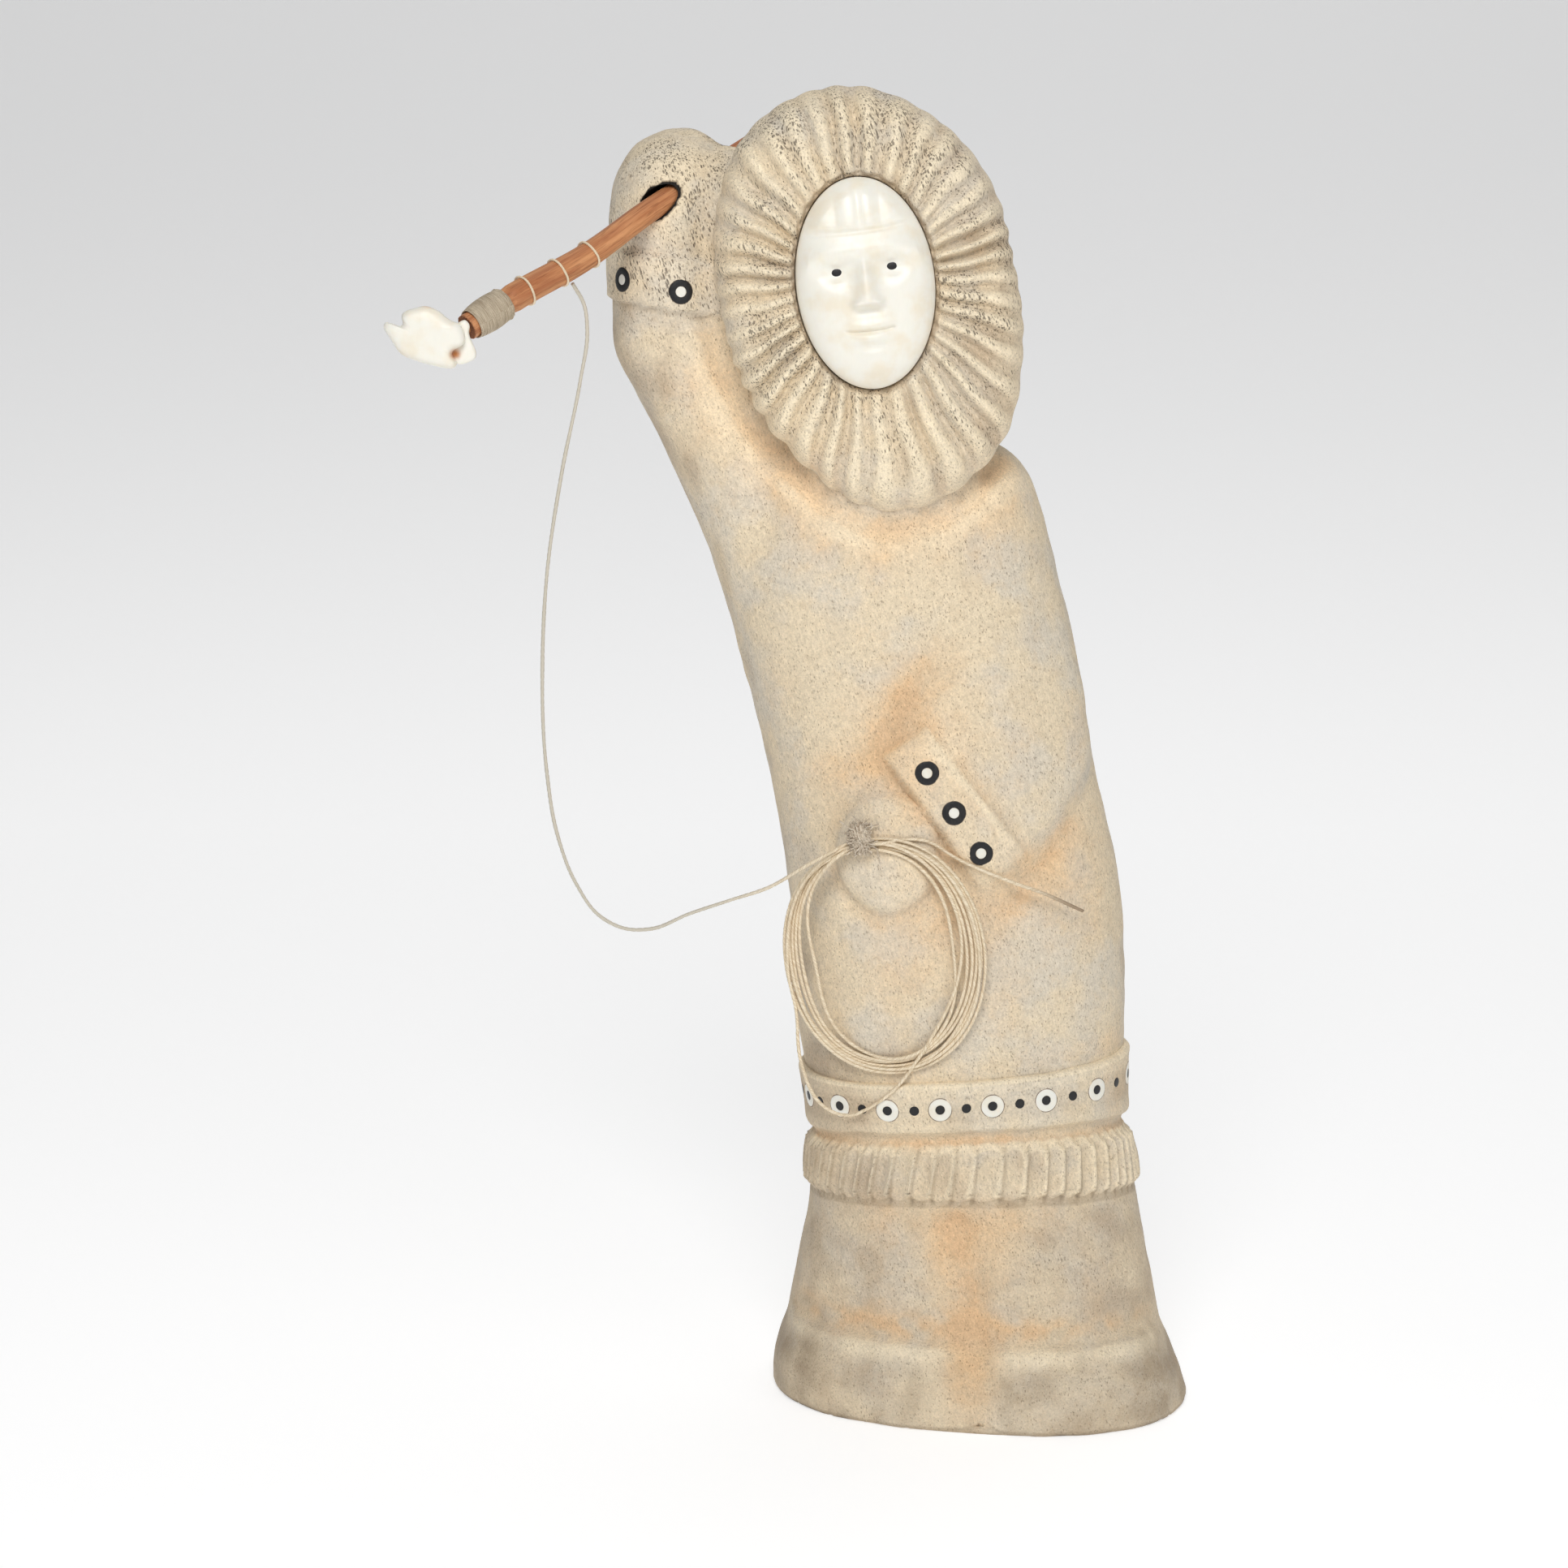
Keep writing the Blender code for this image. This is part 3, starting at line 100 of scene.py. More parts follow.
class Wire:
    """A socket of a finish's nodes. Sums and products of wires add the nodes that work them out."""

    def __init__(self, socket):
        self.socket = socket

    def node(self, kind, settings=None, values=None, output=0):
        """Any node: its settings first, then its sockets' values or wires, by name or by number."""
        made = self.socket.id_data.nodes.new(kind)
        for name, setting in (settings or {}).items():
            if name == "stops":
                ramp = made.color_ramp
                while len(ramp.elements) < len(setting):
                    ramp.elements.new(0.5)
                for element, (place, colour) in zip(ramp.elements, setting):
                    element.position = place
                    element.color = (*colour, 1)
            else:
                setattr(made, name, setting)
        for place, value in (values or {}).items():
            if isinstance(value, Wire):
                self.socket.id_data.links.new(value.socket, made.inputs[place])
            else:
                made.inputs[place].default_value = value
        return Wire(made.outputs[output])

    def work(self, operation, other, swapped=False):
        """An operation with a number or another wire: by vector maths for colours and vectors."""
        pair = [self, other]
        flat = all(not isinstance(one, Wire) or one.socket.type == "VALUE" for one in pair)
        if not flat:
            pair = [one if isinstance(one, Wire) or hasattr(one, "__len__") else (one,) * 3 for one in pair]
        if swapped:
            pair.reverse()
        kind = "ShaderNodeMath" if flat else "ShaderNodeVectorMath"
        return self.node(kind, {"operation": operation}, {0: pair[0], 1: pair[1]})

    def __add__(self, other):
        return self.work("ADD", other)

    def __sub__(self, other):
        return self.work("SUBTRACT", other)

    def __rsub__(self, other):
        return self.work("SUBTRACT", other, swapped=True)

    def __mul__(self, other):
        return self.work("MULTIPLY", other)

    def __truediv__(self, other):
        return self.work("DIVIDE", other)

    __radd__ = __add__
    __rmul__ = __mul__

    def rise(self, low, high):
        """0 below low, 1 above high and a smooth rise between. With low above high it falls."""
        if low > high:
            return 1 - self.rise(high, low)
        settings = {"interpolation_type": "SMOOTHSTEP"}
        return self.node("ShaderNodeMapRange", settings, {"Value": self, "From Min": low, "From Max": high})

    def between(self, first, second):
        """A colour from the first to the second as this value goes from 0 to 1."""
        return self.node("ShaderNodeMix", {"data_type": "RGBA"}, {0: self, 6: first, 7: second}, output=2)

    def noise(self, size, detail=3.0, rough=0.55):
        """Cloudy noise whose lumps are about the given size in millimetres. This wire is the place in millimetres."""
        return self.node(
            "ShaderNodeTexNoise", None, {"Vector": self, "Scale": 1 / size, "Detail": detail, "Roughness": rough}
        )

    def stretched(self, scale, turn=(0, 0, 0)):
        """The place turned by degrees and then scaled along each axis."""
        turned = self.node("ShaderNodeMapping", None, {"Vector": self, "Rotation": np.radians(turn)})
        return turned * scale


def new_finish(name, roughness, **constants):
    """A new material: its shader, and the place on the object in millimetres."""
    material = bpy.data.materials.new(name)
    material.use_nodes = True
    shader = material.node_tree.nodes["Principled BSDF"]
    shader.inputs["Roughness"].default_value = roughness
    for words, value in constants.items():
        shader.inputs[words.replace("_", " ")].default_value = value
    coordinates = Wire(material.node_tree.nodes.new("ShaderNodeTexCoord").outputs["Object"])
    return material, shader, coordinates * 1000


def attach(shader, **wires):
    """Links wires to the shader's sockets."""
    for words, wire in wires.items():
        shader.id_data.links.new(wire.socket, shader.inputs[words.replace("_", " ")])


def field(place, name, output=2):
    """A value that the mesh carries: output 2 for a number, 1 for a vector."""
    return place.node("ShaderNodeAttribute", {"attribute_name": name}, output=output)


def relief(height, depth):
    """Fine relief of a depth in millimetres from a height of 0 to 1."""
    return height.node("ShaderNodeBump", None, {"Height": height, "Strength": 1.0, "Distance": depth * MM})


def linear(red, green, blue):
    """A colour given as screen values of 0 to 255, in linear light."""
    tones = np.array([red, green, blue]) / 255
    tones = np.where(tones < 0.04045, tones / 12.92, ((tones + 0.055) / 1.055) ** 2.4)
    return (*tones.tolist(), 1.0)


def outward(points, faces):
    """A closed mesh's arrays of triangles or quads, turned so that they face outwards."""
    triangles = np.concatenate([half for side in faces for half in (side[:, :3], side[:, [0, 2, -1]])])
    first, second, third = (points[triangles[:, k]] for k in range(3))
    inside_out = np.einsum("ij,ij->i", first, np.cross(second, third)).sum() < 0
    return [side[:, ::-1] for side in faces] if inside_out else faces


def build(name, parts, material, sharp=None):
    """A mesh object of one or more parts: points in millimetres, arrays of triangles or quads, and fields."""
    sides, start = {4: [], 3: []}, 0
    for points, faces, _ in parts:
        for side in outward(points, faces):
            sides[side.shape[1]].append(side + start)
        start += len(points)
    places = np.concatenate([points for points, _, _ in parts]) * MM
    mesh = bpy.data.meshes.new(name)
    mesh.from_pydata(places.tolist(), [], [face for some in sides.values() for side in some for face in side.tolist()])
    mesh.shade_smooth()
    if sharp:
        mesh.set_sharp_from_angle(angle=math.radians(sharp))
    for words in parts[0][2]:
        values = np.concatenate([fields[words] for _, _, fields in parts])
        flat = values.ndim == 1
        attribute = mesh.attributes.new(words, "FLOAT" if flat else "FLOAT_VECTOR", "POINT")
        attribute.data.foreach_set("value" if flat else "vector", values.astype(np.float32).ravel())
    mesh.materials.append(material)
    thing = bpy.data.objects.new(name, mesh)
    bpy.context.scene.collection.objects.link(thing)
    return thing


def grid_faces(rows, around, closed=False):
    """Quads over a grid whose columns go round. With closed, its rows go round as well."""
    r, c = np.meshgrid(np.arange(rows if closed else rows - 1), np.arange(around), indexing="ij")
    above, beside = (r + 1) % rows, (c + 1) % around
    corners = [r * around + c, r * around + beside, above * around + beside, above * around + c]
    return np.stack(corners, axis=-1).reshape(-1, 4)


def shell(rows, closed=False, **fields):
    """Points, faces and fields of a grid. An open one is capped by fans to the middle of its end rows."""
    count, around = rows.shape[:2]
    points, faces = rows.reshape(-1, 3), [grid_faces(count, around, closed)]
    flat = {words: values.reshape(count * around, *values.shape[2:]) for words, values in fields.items()}
    if not closed:
        points = np.concatenate([points, rows[[0, -1]].mean(axis=1)])
        c = np.arange(around)
        beside, last, top = (c + 1) % around, count * around, (count - 1) * around
        low = np.stack([beside, c, np.full(around, last)], axis=-1)
        high = np.stack([top + c, top + beside, np.full(around, last + 1)], axis=-1)
        faces += [low, high]
        flat = {words: np.concatenate([flat[words], fields[words][[0, -1]].mean(axis=1)]) for words in fields}
    return points, faces, flat


def add_shell(name, rows, material, closed=False, sharp=None, **fields):
    """A mesh object over a grid of points."""
    return build(name, [shell(rows, closed, **fields)], material, sharp)


camera_data = bpy.data.cameras.new("camera")
camera_data.lens = CAMERA_LENS
camera = bpy.data.objects.new("camera", camera_data)
camera.location = CAMERA_PLACE
camera.rotation_euler = (math.radians(90) - CAMERA_DROP, 0, 0)
bpy.context.scene.collection.objects.link(camera)
bpy.context.scene.camera = camera

bend = np.linspace(0, 0.5 * math.pi, 24)
sweep = np.concatenate(
    [
        [[-PAPER_AHEAD, 0], [-0.4 * PAPER_AHEAD, 0]],
        np.stack([PAPER_BEHIND + PAPER_BEND * np.sin(bend), PAPER_BEND * (1 - np.cos(bend))], axis=-1),
        [[PAPER_BEHIND + PAPER_BEND, PAPER_HEIGHT]],
    ]
)
paper_points = np.array([[side * PAPER_WIDTH, *place] for place in sweep for side in (-0.5, 0.5)])
paper_faces = np.array([[2 * k, 2 * k + 1, 2 * k + 3, 2 * k + 2] for k in range(len(sweep) - 1)])
paper, shader, place = new_finish("studio_paper", 0.9, Specular_IOR_Level=0.1, Emission_Strength=1.0)
shader.inputs["Base Color"].default_value = PAPER_COLOUR
split = [place.node("ShaderNodeSeparateXYZ", None, {"Vector": place}, output=axis) for axis in (1, 2)]
# Painted light: the paper glows, bright on the floor near the figure and fading to grey high up behind it.
attach(shader, Emission_Color=(split[0] + split[1]).rise(950, 2150).between(PAPER_PAINTED_LIGHT_NEAR, PAPER_PAINTED_LIGHT_FAR))
floor = build("studio_sweep", [(paper_points, [paper_faces], {})], paper)

for name, (stand, aim, size, power) in LAMPS.items():
    lamp = bpy.data.lights.new(name, "AREA")
    lamp.shape = "DISK"
    lamp.size = size
    lamp.energy = power
    holder = bpy.data.objects.new(name, lamp)
    holder.location = stand
    holder.rotation_euler = (Vector(aim) - Vector(stand)).to_track_quat("-Z", "Y").to_euler()
    bpy.context.scene.collection.objects.link(holder)
world = bpy.data.worlds.new("studio_air")
world.use_nodes = True
air = world.node_tree.nodes["Background"].inputs
air["Color"].default_value = AIR_COLOUR
air["Strength"].default_value = AIR_STRENGTH
bpy.context.scene.world = world
bpy.context.scene.view_settings.view_transform = "Standard"


# The figure is one block of weathered whale bone, sawn and rasped to a squared column with one arm raised. Its
# fur trim, hem, cuffs, mitten and boots are cut into the surface, and the hollows have taken a warm orange tone.
SQUARENESS = 2.3
# Stations of the block: height, middle, half width, depth in front, depth behind, and the turn in degrees.
TRUNK = (
    (0, 1.4, 60.2, 42, 36, -12), (10, 0.2, 58.4, 41, 35, -12), (22, -0.6, 54.0, 38.5, 33, -10),
    (40, -0.8, 50.4, 34.5, 31, -6), (55, -0.8, 47.4, 32.5, 30, 0), (68, -1.9, 45.8, 31.5, 29.5, 4),
    (82, -2.8, 44.5, 30.5, 29, 8), (98, -4.1, 45.4, 30.5, 29, 10), (112, -5.0, 46.9, 31.5, 29.5, 10),
    (127, -5.4, 47.2, 32.5, 30, 10), (155, -8.2, 46.9, 32, 30.5, 8), (183, -14.0, 45.9, 31, 31, 6),
    (211, -19.6, 46.9, 31, 32, 5), (238, -25.6, 46.2, 31, 32, 4), (256, -27.4, 43.0, 31, 31.5, 2),
    (266, -29.0, 40.4, 30, 31, 0), (273, -31.0, 34.0, 27, 29, 0), (278, -33.0, 20.0, 18, 20, 0),
)
RAISED_ARM = (
    (188, -34.0, 16, 16, 16, 0), (200, -39.0, 23, 22, 22, 0), (224, -45.6, 24.5, 24, 25, 0),
    (240, -50.8, 24.4, 24, 25, 0), (258, -59.2, 23, 23, 24, 0), (272, -66.9, 22, 22, 23, 0),
    (285, -73.4, 22, 21, 21, 0), (299, -80.2, 21.8, 20.5, 20, 0), (312, -82.0, 20.8, 20.5, 20, 0),
    (325, -83.0, 20.0, 21, 20, 0), (334, -83.8, 19.4, 22, 20.5, 0), (343, -84.0, 18.2, 21.8, 20, 0),
    (350, -84.3, 14.8, 19, 17, 0), (355, -84.2, 10.4, 13, 12, 0), (358.6, -83.8, 3.5, 5, 5, 0),
)
HEAD = (-33.9, 317.0)
HEAD_LEAN = math.radians(7)
RUFF_OUTLINE = (53.0, 48.0, 43.4, 41.0, 46.8, 58.4, 62.0, 50.2, 42.4, 39.8, 44.0, 51.4)
RUFF_FRONT = 36.5
RUFF_FALL_TOP = 11.0
RUFF_FALL_BOTTOM = 3.5
RUFF_SWELL = 2.2
RUFF_EDGE = 9.0
RUFF_FLUTES = 38
ANKLE_LEDGE = 26.0
FLUTE_DEPTH = 2.7
HOOD_BACK = 29.0
HOOD_SHARE = 0.93
HEM_LOW = (80.2, 0.8, 3.4)
HEM_HIGH = (100.4, 2.3, -0.6)
FRINGE_LOW = (62.4, 0.2, 3.0)
FRINGE_HIGH = (76.6, 0.6, 2.6)
FRINGE_FLUTES = 52
CUFF_LOW = (309.8, -3.2, -0.6)
CUFF_HIGH = (323.0, -2.6, 0.5)
FIST_WEB = (-71.5, -8.0, 340.6)
FIST_WEB_HALF = (13.0, 15.0, 13.2)
ELBOW_CREASE = ((30, 185), (8, 158))
ARM_FORK = ((-7, 217), (-20, 197))
LOWER_CUFF = (-8.3, 174.8)
LOWER_CUFF_LENGTH = 48.0
LOWER_CUFF_WIDTH = 14.4
FOREARM_RISE = math.radians(37)
MITTEN = (-27.0, 163.0)
MITTEN_HALF = (14.0, 17.0)
FACE_HALF_WIDTH = 18.3
FACE_HALF_HEIGHT = 27.8
FACE_SETBACK = 4.5
INLAY_GAP = 0.25
FIST_HOLE = (-88.9, -20.8, 338.4)
HARPOON_AIM = (-48.5, -39.5, -31.9)
BORE_HALF = 3.9
BORE_SHADE_REACH = 4.264
BONE_GRAIN = 1.15
HOLLOW_DEPTH = 0.45
# Warm patches: across, up, how much each is squeezed across and up, its reach and its strength.
WARM_PATCHES = (
    (-14, 192, 1.0, 1.1, 25, 0.54), (-16, 146, 1.0, 1.1, 15, 0.60), (16, 152, 0.8, 1.0, 17, 0.50),
    (-21, 129, 1.0, 1.0, 11, 0.42), (-38, 186, 1.0, 0.8, 12, 0.45),
)

CREAM = linear(228, 211, 182)
PALE = linear(218, 207, 188)
TAN = linear(206, 186, 156)
PEACH = linear(228, 194, 152)
RUST = linear(208, 164, 122)
SOIL_AND_SHADE = linear(134, 114, 90)
STAIN_SHADE_TINT = linear(188, 169, 144)
PORE = linear(74, 64, 56)
PAINTED_LIGHT_TINT = linear(244, 228, 198)
BORE_SHADE = (0.012, 0.009, 0.007, 1)


def through(knots, values, at, around=None):
    """Values of a smooth curve through the knots: cubic pieces with slopes from the neighbours. It may repeat."""
    knots, values = np.asarray(knots, float), np.asarray(values, float)
    if around is not None:
        knots = np.concatenate([knots[-2:] - around, knots, knots[:3] + around])
        values = np.concatenate([values[-2:], values, values[:3]])
        at = np.mod(at, around)
    slopes = np.gradient(values, knots, axis=0)
    at = np.clip(at, knots[0], knots[-1])
    i = np.clip(np.searchsorted(knots, at, side="right") - 1, 0, len(knots) - 2)
    gap = knots[i + 1] - knots[i]
    t = (at - knots[i]) / gap
    if values.ndim > 1:
        gap, t = gap[..., None], t[..., None]
    start, end = values[i], values[i + 1]
    rise, fall = slopes[i] * gap, slopes[i + 1] * gap
    cubic, square = t**3, t**2
    return start * (2 * cubic - 3 * square + 1) + rise * (cubic - 2 * square + t) + end * (
        3 * square - 2 * cubic
    ) + fall * (cubic - square)


def smooth_step(low, high, value):
    """0 below low, 1 above high, and a smooth rise between."""
    t = np.clip((value - low) / (high - low), 0, 1)
    return t * t * (3 - 2 * t)


def mound(distance, width):
    """A round hump, 1 in the middle and fading over the width."""
    return np.exp(-((distance / width) ** 2))


def patches(table, x, z):
    """The sum of soft oval patches: place across and up, squeezed across and up, reach and strength."""
    total = 0 * x
    for at_x, at_z, wide, tall, reach, much in table:
        total = total + much * mound(np.hypot(wide * (x - at_x), tall * (z - at_z)), reach)
    return total


def drift(points, size, seed):
    """Wandering values of about -1 to 1: the sum of ten sine waves of chance directions and about the given size."""
    chance = np.random.default_rng(seed)
    ways = chance.normal(size=(3, 10))
    ways /= np.linalg.norm(ways, axis=0)
    waves = math.tau / (size * chance.uniform(0.6, 1.5, 10))
    phases = chance.uniform(0, math.tau, 10)
    return np.sin(points @ ways * waves + phases).sum(axis=-1) / 4


def clouds(points, size, seed, low, high):
    """Wandering patches: 0 where the drift is below low, 1 where it is above high, and smooth between."""
    return smooth_step(low, high, drift(points, size, seed))


def girth(stations, height, turn, proud=0.0):
    """Points round a column at each height and turn: a squared oval, deeper at the front or the back."""
    table = np.array(stations, float)
    columns = through(table[:, 0], table[:, 1:], height)
    middle, half = columns[..., 0], columns[..., 1] + proud
    front, back = columns[..., 2] + proud, columns[..., 3] + proud
    swing = np.radians(columns[..., 4])
    power = 2 / SQUARENESS
    across = half * np.sign(np.cos(turn)) * np.abs(np.cos(turn)) ** power
    depth = np.where(np.sin(turn) < 0, front, back)
    along = depth * np.sign(np.sin(turn)) * np.abs(np.sin(turn)) ** power
    x = middle + across * np.cos(swing) - along * np.sin(swing)
    y = across * np.sin(swing) + along * np.cos(swing)
    return np.stack([x, y, np.broadcast_to(height, x.shape)], axis=-1)


def edge_height(edge, turn):
    """The height of a band's edge at a turn: its middle height, with its lift to the right and at the front."""
    middle, right, front = edge
    return middle + right * np.cos(turn) + front * np.maximum(0, -np.sin(turn))


def head_frame(across, up, depth):
    """A point given across, up and in front of the middle of the face, in the figure's own frame."""
    cos, sin = math.cos(HEAD_LEAN), math.sin(HEAD_LEAN)
    x = HEAD[0] + across * cos - up * sin
    z = HEAD[1] + across * sin + up * cos
    return np.stack([x, -depth, z], axis=-1)


def head_polar(x, z):
    """The distance and the clockwise turn of a point from the middle of the face."""
    cos, sin = math.cos(HEAD_LEAN), math.sin(HEAD_LEAN)
    dx, dz = x - HEAD[0], z - HEAD[1]
    across, up = dx * cos + dz * sin, dz * cos - dx * sin
    return np.hypot(across, up), np.arctan2(across, up)


def ruff_reach(turn):
    """The distance from the middle of the face to the ruff's edge."""
    knots = np.arange(len(RUFF_OUTLINE)) * math.tau / len(RUFF_OUTLINE)
    return through(knots, RUFF_OUTLINE, turn, around=math.tau)


def face_reach(turn, gap=0.0):
    """The distance from the middle of the face to the edge of the oval plate."""
    return 1 / np.hypot(np.sin(turn) / (FACE_HALF_WIDTH + gap), np.cos(turn) / (FACE_HALF_HEIGHT + gap))


def side_of(line, x, z):
    """The distance of points from a line of two points, positive on its left."""
    (x0, z0), (x1, z1) = line
    return ((x - x0) * (z0 - z1) + (z - z0) * (x1 - x0)) / math.hypot(x1 - x0, z1 - z0)


def cuff_frame(x, z):
    """Places along the lower cuff and across it, towards the elbow, from its middle."""
    cos, sin = math.cos(FOREARM_RISE), math.sin(FOREARM_RISE)
    dx, dz = x - LOWER_CUFF[0], z - LOWER_CUFF[1]
    return dx * sin - dz * cos, dx * cos + dz * sin


def boot_seam(z):
    """Where the middle of the trough between the boots runs."""
    return -1.9 - 0.105 * z


def boots_relief(x, z, front, back):
    """The soft groove between the boots, the crease above each foot, and the swell of calf and toe."""
    seam = boot_seam(z)
    below = 1 - smooth_step(56, 66, z)
    foot = 0.45 + 0.55 * smooth_step(12, 30, z)
    groove = -4.9 * mound(x - seam, 9.0) * below * foot
    beside = 1 - mound(x - seam, 9)
    over = z - ANKLE_LEDGE
    crease = -2.9 * mound(over, np.where(over > 0, 8.0, 2.4)) * (0.25 + 0.75 * beside)
    calf = 1.0 * mound(z - 45, 11) * beside
    toe = 1.4 * mound(z - 14, 8) * beside
    return (groove + crease + calf + toe) * (front + 0.6 * back)


def sleeve_parts(x, z):
    """The sleeve, the cuff, the mitten, and the hollows of the fork, the armpit and the mitten's moat, each 0 to 1."""
    elbow, fork = -side_of(ELBOW_CREASE, x, z), side_of(ARM_FORK, x, z)
    along, across = cuff_frame(x, z)
    flare = 1.0 * smooth_step(2, 12, along)
    wrist = across + 0.5 * LOWER_CUFF_WIDTH + flare
    fade = 1 - smooth_step(204, 236, z)
    sleeve = smooth_step(-6.0, 6.0, elbow) * smooth_step(-6, 5, fork)
    soft = 1 + 6 * smooth_step(4, 24, along)
    sleeve = sleeve * smooth_step(-0.8 * soft, 1.2 * soft, wrist) * fade
    hollow = mound(fork + 7, 6) * mound(z - 203, 18)
    armpit = mound(elbow + 5.5, 5) * mound(x - 17, 14)
    cuff = smooth_step(-0.7, 0.7, 0.5 * LOWER_CUFF_LENGTH + along)
    cuff = cuff * (1 - smooth_step(15, 25, along))
    cuff = cuff * smooth_step(-0.6, 0.6, np.minimum(wrist, 0.5 * LOWER_CUFF_WIDTH - across))
    dx, dz = x - MITTEN[0], z - MITTEN[1]
    oval = 1 - (dx / MITTEN_HALF[0]) ** 2 - (dz / MITTEN_HALF[1]) ** 2
    mitten = np.sqrt(np.clip(oval, 0, 1)) * (1 - smooth_step(0, 3, wrist))
    moat = mound(np.sqrt(np.clip(1 - oval, 0, 9)) - 1.12, 0.16) * (1 - smooth_step(-3, 0, wrist))
    moat = moat * (0.35 + 0.65 * smooth_step(4, -12, dz))
    return sleeve, cuff, mitten, hollow, armpit, moat


def ruff_moat(x, z):
    """The hollow cut round the ruff, 0 to 1."""
    far, turn = head_polar(x, z)
    return mound(far - ruff_reach(turn) - 2.5, 4.5)


def arm_turn(points):
    """The turn of points round the raised arm."""
    table = np.array(RAISED_ARM, float)
    middle = through(table[:, 0], table[:, 1], points[:, 2])
    return np.arctan2(points[:, 1], points[:, 0] - middle)


def in_band(points, turn, low, high, edge):
    """1 between a band's two edges and 0 outside, with an edge of the given softness."""
    above = smooth_step(-edge, edge, points[:, 2] - edge_height(low, turn))
    return above * smooth_step(-edge, edge, edge_height(high, turn) - points[:, 2])


def tool_marks(points):
    """The unevenness that a rasp and a knife leave, in millimetres."""
    return 0.22 * drift(points, 26, 1) + 0.10 * drift(points, 9, 2) + 0.035 * drift(points, 3, 3)


def tones(points, normals):
    """Fields of the bone's colour: warm hollows, soil with painted shade, open pores, painted highlights on edges, and
    stains with painted shade.
    """
    x, y, z = points.T
    front, back = (smooth_step(0.05, 0.6, sign * normals[:, 1]) for sign in (-1, 1))
    hollow, armpit, moat = sleeve_parts(x, z)[3:]
    along, across = cuff_frame(x, z)
    far, head_turn = head_polar(x, z)
    outside, from_seam = far - ruff_reach(head_turn), x - boot_seam(z)
    under_head = smooth_step(318, 285, z)
    turn = np.arctan2(y, x + 3)
    over_hem, over_fringe = z - edge_height(HEM_HIGH, turn), z - edge_height(FRINGE_HIGH, turn)
    in_groove = z - 0.5 * (edge_height(FRINGE_HIGH, turn) + edge_height(HEM_LOW, turn))
    below = smooth_step(66, 56, z)
    over_ledge = z - ANKLE_LEDGE + 3.2

    warm = 0.42 * hollow + 0.28 * armpit + 0.30 * moat + patches(WARM_PATCHES, x, z)
    warm += 0.35 * mound(np.abs(across) - 0.5 * LOWER_CUFF_WIDTH, 3.5) * mound(along, 24)
    warm += 0.68 * mound(outside - 6, 7.5) * under_head + 0.28 * mound(outside - 12, 16) * smooth_step(300, 270, z)
    warm += 0.30 * mound(from_seam - 2.5, 3.2) * below * smooth_step(12, 34, z)
    warm += 0.45 * mound(z - edge_height(FRINGE_LOW, turn) + 3, 5) * mound(from_seam, 26)
    warm += 0.95 * mound(over_ledge - 5.2, 4.2) * clouds(points, 9, 15, -1.4, 0.4) * mound(from_seam, 52)
    warm *= front
    # Orange in the groove under the hem: partly the bone's tone, partly painted shade.
    warm += 0.75 * mound(in_groove, 2.4) * smooth_step(-20, 12, -y) + 0.2 * mound(over_hem - 3, 4)
    trough = mound(from_seam, 11.5 * (0.7 + 0.6 * smooth_step(30, 60, z))) * smooth_step(-12, 30, z)
    warm += 0.90 * trough * below * (front + 0.6 * back)
    warm = warm * (0.55 + 0.45 * clouds(points, 21, 12, -0.9, 0.9)) + 0.22 * clouds(points, 34, 5, 0.1, 1.1)

    soil = 0.62 * smooth_step(25, 14, z) * (1 - 0.6 * mound(from_seam, 9))
    soil *= 0.45 + 0.55 * clouds(points, 14, 6, -1.1, 1.0)
    # Darker towards the bottom, and a dark line along the very bottom edge as painted contact shade.
    soil += 0.16 * smooth_step(95, 50, z) + 0.9 * smooth_step(2, 0.3, z) + 0.25 * clouds(points, 11, 8, 0.3, 1.2)
    edges = (smooth_step(-38, -50, x) + 0.7 * smooth_step(36, 48, x)) * smooth_step(66, 50, z)
    soil += 0.45 * edges * (0.4 + 0.6 * clouds(points, 13, 7, -1.0, 1.0))
    # Painted shade: darker on the left of the figure as seen from the front.
    soil += 0.20 * smooth_step(2, -12, x + 0.30 * z) * smooth_step(60, 90, z) * smooth_step(320, 290, z)
    under_fist = mound(np.hypot(0.55 * (x + 78), 1.3 * (z - 328)), 9)
    soil += 0.55 * under_fist * clouds(points, 5, 13, -1.0, 0.5) * front
    soil += 0.45 * mound(outside + 6, 7) * mound(head_turn - 1.9, 0.35) * clouds(points, 6, 14, -0.4, 0.6)
    under_cuff = mound(z - edge_height(CUFF_LOW, arm_turn(points)) + 1, 1.1)
    soil += 0.75 * under_cuff * smooth_step(-56, -60, x) * smooth_step(2, 6, outside)
    # Painted shade: near black inside the bore through the fist.
    from_hole = points - FIST_HOLE
    off_axis = np.linalg.norm(np.cross(from_hole, HARPOON_AIM), axis=1) / np.linalg.norm(HARPOON_AIM)
    soil += 3.0 * (off_axis < BORE_SHADE_REACH) * smooth_step(100, 60, np.linalg.norm(from_hole, axis=1))

    pores = np.maximum(smooth_step(288, 322, z), smooth_step(2, -6, outside) * smooth_step(236, 300, z))
    pores *= 0.35 + 0.85 * clouds(points, 17, 9, -1.0, 0.8)
    pores = np.maximum.reduce([pores, 0.35 * clouds(points, 22, 10, 0.2, 1.2), under_fist * front])

